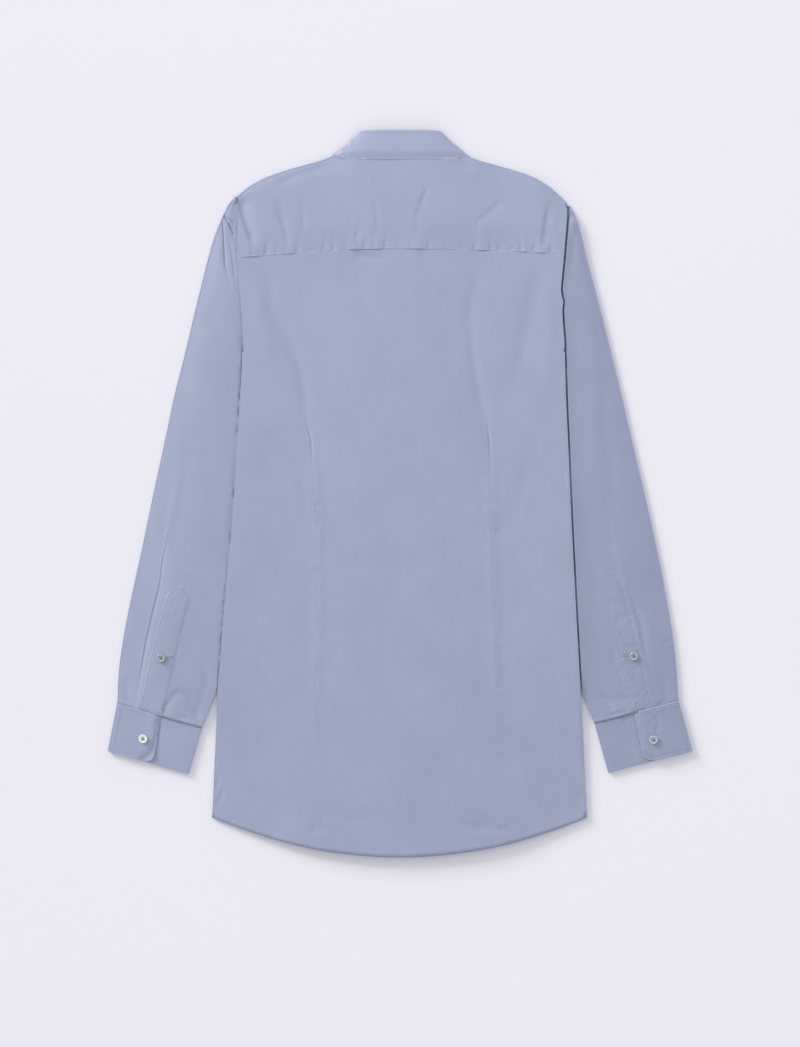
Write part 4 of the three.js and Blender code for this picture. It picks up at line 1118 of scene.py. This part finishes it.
def nearPleat(width):
    # A strip along the sharp fold that runs up from the left cuff, and for a wide one the head's folds too
    def isNear(x, y, z):
        pleatX = np.interp(y, (-240, -168, -125, -76, -2), (-301, -291.5, -281.5, -272.5, -259.5))
        isHead = (x > -208) & (x < -185) & (y > 232) & (y < 344)
        return ((np.abs(x - pleatX) < width) & (y < 5)) | (isHead & (width > 3))
    return isNear


def isLowSleeve(x, y, z):
    # The cuff end, but for the strips that are split further
    return (y < -90) & ~nearSlot(-9, 8)(x, y, z) & ~nearPleat(7)(x, y, z)


# Where a panel's mesh is split once more, in turn
fineZones = {
    "back": [isOpenBack, isNearSewing],
    "left_sleeve": [
        isLowSleeve, nearPleat(5), nearSlot(-3, 4), nearPleat(3.5), nearSlot(-1.5, 2), nearPleat(2.5),
    ],
    "right_sleeve": [isLowSleeve, nearSlot(-4, 7), nearSlot(-2.5, 5), nearSlot(-1.5, 3.5)],
}
cloth = {}
for nodeName, panel in panels.items():
    piece = clothFrom(nodeName, panel["levels"])
    for isFine in fineZones.get(nodeName, []):
        refineTop(piece, isFine)
    cloth[nodeName] = piece
    print(nodeName, "rounded,", len(piece.data.polygons), "faces")

for nodeName in ("back", "yoke", "left_sleeve", "right_sleeve", "left_cuff", "right_cuff"):
    squareRims(cloth[nodeName])
for nodeName, edge in lapEdges.items():
    thinLap(cloth[nodeName], edge)

# A lap is pressed first, against the cloth as it was cut, and then both follow the same folds
pressYoke(cloth["yoke"])
dipUnderYoke(cloth["back"])
fillNeck(cloth["yoke"])
closeShoulder(cloth["yoke"], 2.2)
closeShoulder(cloth["left_sleeve"], -1.4)
for side, top in cuffTops.items():
    sleeve, facing = cloth[side + "_sleeve"], cloth[side + "_sleeve_facing"]
    pressDown(facing, sleeve, facingWall([(x, y) for x, y, z in upperRim(side + "_sleeve_facing")]))
    meetCuff(sleeve, top, ceilings["sleeve"])
    meetCuff(facing, top, ceilings["facing"])
leftRows, leftReach = outlineX(cloth["back"], -1)
cutSlot(cloth["left_sleeve"], leftEdgeAt, -1, slots["left"])
cutSlot(cloth["right_sleeve"], rightEdgeAt, 1, slots["right"])
for nodeName in ("back", "yoke"):
    alignRightEdge(cloth[nodeName])

for nodeName in ("collar_leaf", "collar_stand"):
    settleCollar(cloth[nodeName])

for nodeName, panel in panels.items():
    if panel["relief"]:
        liftTop(cloth[nodeName], panel["relief"])
    finishCloth(cloth[nodeName], panel["cloth"], nodeName, panel["slot"])
print("cloth laid and folded")

# Sewing: rows of stitches as Geometry Nodes, one short thread on each step of a line

stitch = {"pitch": 3.0, "length": 2.3, "width": 0.42, "seed": 4}    # millimetres; real ones are 2 mm apart
satin = {"pitch": 0.42, "length": 1.7, "width": 0.4, "seed": 9, "apart": 2.1, "turn": math.pi / 2}


def stitchTree():
    tree = bpy.data.node_groups.new("stitchRow", "GeometryNodeTree")
    socket = tree.interface.new_socket
    socket("Lines", in_out="INPUT", socket_type="NodeSocketGeometry")
    for name in ("Pitch", "Length", "Width", "Turn"):
        socket(name, in_out="INPUT", socket_type="NodeSocketFloat")
    socket("Seed", in_out="INPUT", socket_type="NodeSocketInt")
    socket("Thread", in_out="INPUT", socket_type="NodeSocketMaterial")
    socket("Stitches", in_out="OUTPUT", socket_type="NodeSocketGeometry")
    given = addNode(tree, "NodeGroupInput").outputs
    line = addNode(tree, "GeometryNodeMeshToCurve", None, {"Mesh": given["Lines"]})
    steps = addNode(tree, "GeometryNodeResampleCurve", {"mode": "LENGTH"}, {
        "Curve": line.outputs["Curve"], "Length": given["Pitch"],
    })
    wander = addNode(tree, "FunctionNodeRandomValue", {"data_type": "FLOAT_VECTOR"}, {
        "Min": (-0.00006, -0.00006, 0), "Max": (0.00006, 0.00006, 0), "Seed": given["Seed"],
    })
    placed = addNode(tree, "GeometryNodeSetPosition", None, {
        "Geometry": steps.outputs["Curve"], "Offset": wander.outputs["Value"],
    })
    tangent = addNode(tree, "GeometryNodeInputTangent")
    aimed = addNode(tree, "FunctionNodeAlignRotationToVector", {"axis": "X"}, {
        "Vector": tangent.outputs["Tangent"],
    })
    extra = addNode(tree, "ShaderNodeCombineXYZ", None, {"Z": given["Turn"]})
    turned = addNode(tree, "FunctionNodeRotateRotation", {"rotation_space": "LOCAL"}, {
        "Rotation": aimed.outputs["Rotation"], "Rotate By": extra.outputs["Vector"],
    })
    bead = addNode(tree, "GeometryNodeMeshUVSphere", None, {"Segments": 6, "Rings": 5, "Radius": 0.5})
    size = addNode(tree, "ShaderNodeCombineXYZ", None, {
        "X": given["Length"], "Y": given["Width"], "Z": given["Width"],
    })
    thread = addNode(tree, "GeometryNodeTransform", None, {
        "Geometry": bead.outputs["Mesh"], "Scale": size.outputs["Vector"],
    })
    many = addNode(tree, "GeometryNodeInstanceOnPoints", None, {
        "Points": placed.outputs["Geometry"], "Instance": thread.outputs["Geometry"],
        "Rotation": turned.outputs["Rotation"],
    })
    real = addNode(tree, "GeometryNodeRealizeInstances", None, {"Geometry": many.outputs["Instances"]})
    coloured = addNode(tree, "GeometryNodeSetMaterial", None, {
        "Geometry": real.outputs["Geometry"], "Material": given["Thread"],
    })
    addNode(tree, "NodeGroupOutput", None, {"Stitches": coloured.outputs["Geometry"]})
    return tree


def resampled(path, step=1.5):
    # Points at even steps along a path of (x, y), in millimetres
    lengths = [math.dist(a, b) for a, b in zip(path, path[1:])]
    along = np.concatenate([[0], np.cumsum(lengths)])
    places = np.linspace(0, along[-1], max(2, int(along[-1] / step) + 1))
    xs, ys = zip(*path)
    return list(zip(np.interp(places, along, xs), np.interp(places, along, ys)))


def insetLoop(loop, inset):
    # A closed outline moved inwards, its own corners kept
    flat = [(x, y) for x, y, *_ in loop]
    if math.dist(flat[0], flat[-1]) < 0.01:
        flat = flat[:-1]
    area = sum(ax * by - bx * ay for (ax, ay), (bx, by) in zip(flat, flat[1:] + flat[:1])) / 2
    hand = 1 if area > 0 else -1
    moved = []
    for before, at, after in zip(flat[-1:] + flat[:-1], flat, flat[1:] + flat[:1]):
        first = Vector((at[0] - before[0], at[1] - before[1])).normalized()
        second = Vector((after[0] - at[0], after[1] - at[1])).normalized()
        inward = Vector((-first.y - second.y, first.x + second.x)) * hand
        spread = max(0.35, 1 + first.dot(second))
        moved.append((at[0] + inward.x * inset / spread, at[1] + inward.y * inset / spread))
    return moved + moved[:1]


rowTree = stitchTree()


def sew(name, paths, surfaces, form, slotName="shirting", above=True, thread=highlightThread):
    # Lays every path on the finished cloth, from above or from below, and sews along it
    tree = treeOf(*surfaces)
    vertices, edges = [], []
    for path in paths:
        start = len(vertices)
        for x, y in resampled(path):
            origin = Vector((x * mm, y * mm, 0.1 if above else -0.1))
            hit = tree.ray_cast(origin, Vector((0, 0, -1 if above else 1)))[0]
            if hit:
                vertices.append(hit + Vector((0, 0, 0.07 * mm if above else -0.07 * mm)))
        edges += [(i, i + 1) for i in range(start, len(vertices) - 1)]
    mesh = bpy.data.meshes.new(name)
    mesh.from_pydata(vertices, edges, [])
    row = addObject(name + "Lines", mesh)
    sewing = row.modifiers.new("sewing", "NODES")
    sewing.node_group = rowTree
    values = {
        "Pitch": form["pitch"] * mm, "Length": form["length"] * mm, "Width": form["width"] * mm,
        "Turn": form.get("turn", 0.0), "Seed": form["seed"], "Thread": thread,
    }
    for item in rowTree.interface.items_tree:
        if item.in_out == "INPUT" and item.name in values:
            sewing[item.identifier] = values[item.name]
    made = applied(row, name)
    made.data.shade_smooth()
    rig.ride(made, "root")
    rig.slot(made, slotName)
    return made


def holeRows(start, end):
    # The two sides of a buttonhole between two points
    (ax, ay), (bx, by) = start, end
    length = math.dist(start, end)
    offX, offY = (ay - by) / length * satin["apart"] / 2, (bx - ax) / length * satin["apart"] / 2
    return [[(ax + k * offX, ay + k * offY), (bx + k * offX, by + k * offY)] for k in (-1, 1)]


def middleOf(nodeName):
    low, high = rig.box(nodeName)
    return (low[0] + high[0]) / 2 / mm, (low[1] + high[1]) / 2 / mm


yokeRow = [(x, float(yokeSeamAt(x)) + 0.8) for x in range(-182, 187, 4)]
hemRow = [(x, hemAt(x) + 6) for x in range(-206, 207, 6)]
sewn = {
    "back": [sew("backHemStitches", [hemRow], [cloth["back"]], stitch)],
    "yoke": [sew("yokeStitches", [yokeRow], [cloth["yoke"]], stitch)],
}
# The fronts end a little higher than the back
frontHemRow = [(x, -399.5 + 50.5 * (x / 177.5) ** 2) for x in range(-172, 173, 4)]
for nodeName in ("left_front", "right_front"):
    name = nodeName.split("_")[0] + "FrontHemStitches"
    sewn[nodeName] = [sew(name, [frontHemRow], [cloth[nodeName]], stitch, above=False)]
leafRim = insetLoop(upperRim("collar_leaf"), 5.5)
sewn["collar_leaf"] = [
    sew("collarLeafStitches", [leafRim], [cloth["collar_leaf"]], stitch, "interlined", thread=dullThread),
    sew("collarUnderStitches", [leafRim], [cloth["collar_leaf"]], stitch, "interlined", above=False),
]
bandRows = [insetLoop(upperRim("front_band"), 5.0)]
bandHoles = []
for i in range(1, 7):
    x, y = middleOf("front_button_" + str(i))
    bandHoles += holeRows((x, y - 7), (x, y + 7))
sewn["front_band"] = [
    sew("frontBandStitches", bandRows, [cloth["front_band"]], stitch, above=False),
    sew("frontBandButtonholes", bandHoles, [cloth["front_band"]], satin, above=False),
]
sideSewing = {    # the bar across a facing, its buttonhole, and how far the cuff's buttonhole runs
    "left": {"bar": [(-258.5, -137), (-247, -134)], "hole": [(-272, -188.3), (-260.5, -187.3)], "away": -9},
    "right": {"bar": [(238, -118), (257, -121)], "hole": [(255.5, -184.6), (267, -185.4)], "away": 9},
}
for side, rows in sideSewing.items():
    facing, cuff = side + "_sleeve_facing", side + "_cuff"
    edgeRow = insetLoop(upperRim(facing), 1.6)
    sewn[facing] = [
        sew(side + "FacingStitches", [edgeRow, rows["bar"]], [cloth[facing]], stitch, thread=dullThread),
        sew(side + "FacingButtonhole", holeRows(*rows["hole"]), [cloth[facing]], satin, thread=dullThread),
    ]
    cuffRows = [insetLoop(upperRim(cuff), 5.0), [(x, y - 1.7) for x, y in cuffTops[side]]]
    x, y = middleOf(side + "_cuff_button")
    (ax, ay), (bx, by) = cuffTops[side]
    cuffHole = [(x, y), (x + rows["away"], y + rows["away"] * (by - ay) / (bx - ax))]
    sewn[cuff] = [
        sew(side + "CuffStitches", cuffRows, [cloth[cuff]], stitch, "interlined", thread=dullThread),
        sew(side + "CuffButtonhole", holeRows(*cuffHole), [cloth[cuff]], satin, "interlined"),
    ]
print("seams sewn")

for nodeName, panel in panels.items():
    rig.sheet(
        cloth[nodeName], flat=panel["cut"], held="laid", rests_on=panel["restsOn"], area=panel["area"],
        with_pieces=sewn.get(nodeName, []),
    )

# Buttons

buttonForm = {
    "radius": 5.0, "height": 2.2, "rimWidth": 1.3, "dish": 0.5, "holeRadius": 0.75, "holeSpread": 1.25,
    "segments": 48, "holeSegments": 20,
}


def addTurned(target, profile, sides, place=None):
    # Turns a profile of (radius, height) round its axis; a radius of 0 closes an end
    rings = []
    for radius, z in profile:
        count = 1 if radius == 0 else sides
        angles = [2 * math.pi * i / sides for i in range(count)]
        ring = [Vector((math.cos(angle) * radius, math.sin(angle) * radius, z)) for angle in angles]
        rings.append([target.verts.new(place @ point if place else point) for point in ring])
    for low, high in zip(rings, rings[1:]):
        for i in range(sides):
            j = (i + 1) % sides
            corners = [low[i % len(low)], low[j % len(low)], high[j % len(high)], high[i % len(high)]]
            target.faces.new(list(dict.fromkeys(corners)))


def buttonMesh():
    r, h, rim, dish = (buttonForm[k] for k in ("radius", "height", "rimWidth", "dish"))
    profile = [
        (0, 0.15), (r - 1.4, 0.1), (r - 0.6, 0.25), (r - 0.15, 0.7), (r, 1.15), (r - 0.1, 1.6),
        (r - 0.4, h - 0.12), (r - 0.75, h), (r - 1.1, h - 0.1), (r - rim - 0.3, h - dish),
        (r - rim - 0.9, h - dish - 0.08), (0, h - dish - 0.1),
    ]
    body = bmesh.new()
    addTurned(body, [(radius * mm, z * mm) for radius, z in profile], buttonForm["segments"])
    bmesh.ops.recalc_face_normals(body, faces=body.faces)
    mesh = bpy.data.meshes.new("buttonBlank")
    body.to_mesh(mesh)
    body.free()
    blank = addObject("buttonBlank", mesh)
    cutters = bmesh.new()
    spread, radius = buttonForm["holeSpread"] * mm, buttonForm["holeRadius"] * mm
    for i, j in ((1, 1), (1, -1), (-1, -1), (-1, 1)):
        bmesh.ops.create_cone(
            cutters, cap_ends=True, segments=buttonForm["holeSegments"], radius1=radius, radius2=radius,
            depth=8 * mm, matrix=Matrix.Translation((i * spread, j * spread, 0)),
        )
    cutMesh = bpy.data.meshes.new("holes")
    cutters.to_mesh(cutMesh)
    cutters.free()
    holes = addObject("holes", cutMesh)
    cut = blank.modifiers.new("holes", "BOOLEAN")
    cut.object = holes
    cut.solver = "EXACT"
    made = applied(blank, "buttonShape")
    bpy.data.objects.remove(holes)
    mesh = made.data
    bpy.data.objects.remove(made)
    return mesh


def addCapsule(target, start, end, radius, sides=8):
    # A short thread: a tube with domed ends between two points
    start, end = Vector(start), Vector(end)
    turn = (end - start).to_track_quat("Z", "Y").to_matrix().to_4x4()
    full = (end - start).length / radius
    rows = [(0, -0.9), (0.6, -0.7), (1, 0), (1, full), (0.6, full + 0.7), (0, full + 0.9)]
    profile = [(share * radius, along * radius) for share, along in rows]
    addTurned(target, profile, sides, Matrix.Translation(start) @ turn)


def makeButton(nodeName, shape, under, turn, resin):
    # A button on the pieces in under rests on their top; the others hang face down below the front
    low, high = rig.box(nodeName)
    centre = (Vector(low) + Vector(high)) / 2
    first, *rest = nodeName.split("_")
    name = first + "".join(word.title() for word in rest)
    up = bool(under)
    level = heightAbove(treeOf(*under), centre.x, centre.y) + 0.3 * mm if up else high[2]
    place = Matrix.Translation((centre.x, centre.y, level))
    facing = Matrix.Rotation(0 if up else math.pi, 4, "X") @ Matrix.Rotation(turn, 4, "Z")
    mesh = shape.copy()
    mesh.transform(place @ facing)
    button = addObject(name + "Pearl", mesh)
    mesh.materials.append(resin)
    mesh.shade_smooth()
    mesh.set_sharp_from_angle(angle=math.radians(40))
    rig.ride(button, "root")
    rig.replaces(button, nodeName)
    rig.slot(button, "button")

    # The crossed sewing thread, down through opposite holes
    threads = bmesh.new()
    spread = buttonForm["holeSpread"] * mm
    top = (buttonForm["height"] - buttonForm["dish"] + 0.12) * mm
    for step, (i, j) in enumerate(((1, 1), (1, -1))):
        for shift in (-0.28 * mm, 0.28 * mm):
            across = Vector((j * i * 0.7, -0.7, 0)) * shift
            z = top + (0.25 * mm if step else 0)
            start = Vector((i * spread, j * spread, z)) + across
            end = Vector((-i * spread, -j * spread, z)) + across
            addCapsule(threads, start, end, 0.28 * mm)
            for corner in (start, end):
                addCapsule(threads, corner, corner - Vector((0, 0, 1.2 * mm)), 0.28 * mm)
    bmesh.ops.recalc_face_normals(threads, faces=threads.faces)
    threads.transform(place @ facing)
    threadMesh = bpy.data.meshes.new(name + "Thread")
    threads.to_mesh(threadMesh)
    threads.free()
    thread = addObject(name + "Thread", threadMesh)
    threadMesh.materials.append(buttonThread)
    threadMesh.shade_smooth()
    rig.ride(thread, "root")
    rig.slot(thread, "button")


shape = buttonMesh()
for i, nodeName in enumerate(sorted(name for name in frame["nodes"] if "button" in name)):
    side = nodeName.split("_")[0]
    under = []
    if "cuff" in nodeName:
        under = [cloth[side + "_cuff"]]
    if "facing" in nodeName:
        under = [cloth[side + "_sleeve_facing"]]
    # The facings' buttons take the darker copy of the resin, with painted shade
    kind = "smoky" if "facing" in nodeName else "clear" if nodeName == "right_cuff_button" else "milky"
    makeButton(nodeName, shape, under, 0.08 * i - 0.5, pearls[kind])
bpy.data.meshes.remove(shape)
print("buttons made")

lowest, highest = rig.bounds()
with open("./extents.json", "w") as sizes:
    json.dump({"cad": [list(corner) for corner in cadBox], "visual": [list(lowest), list(highest)]}, sizes)
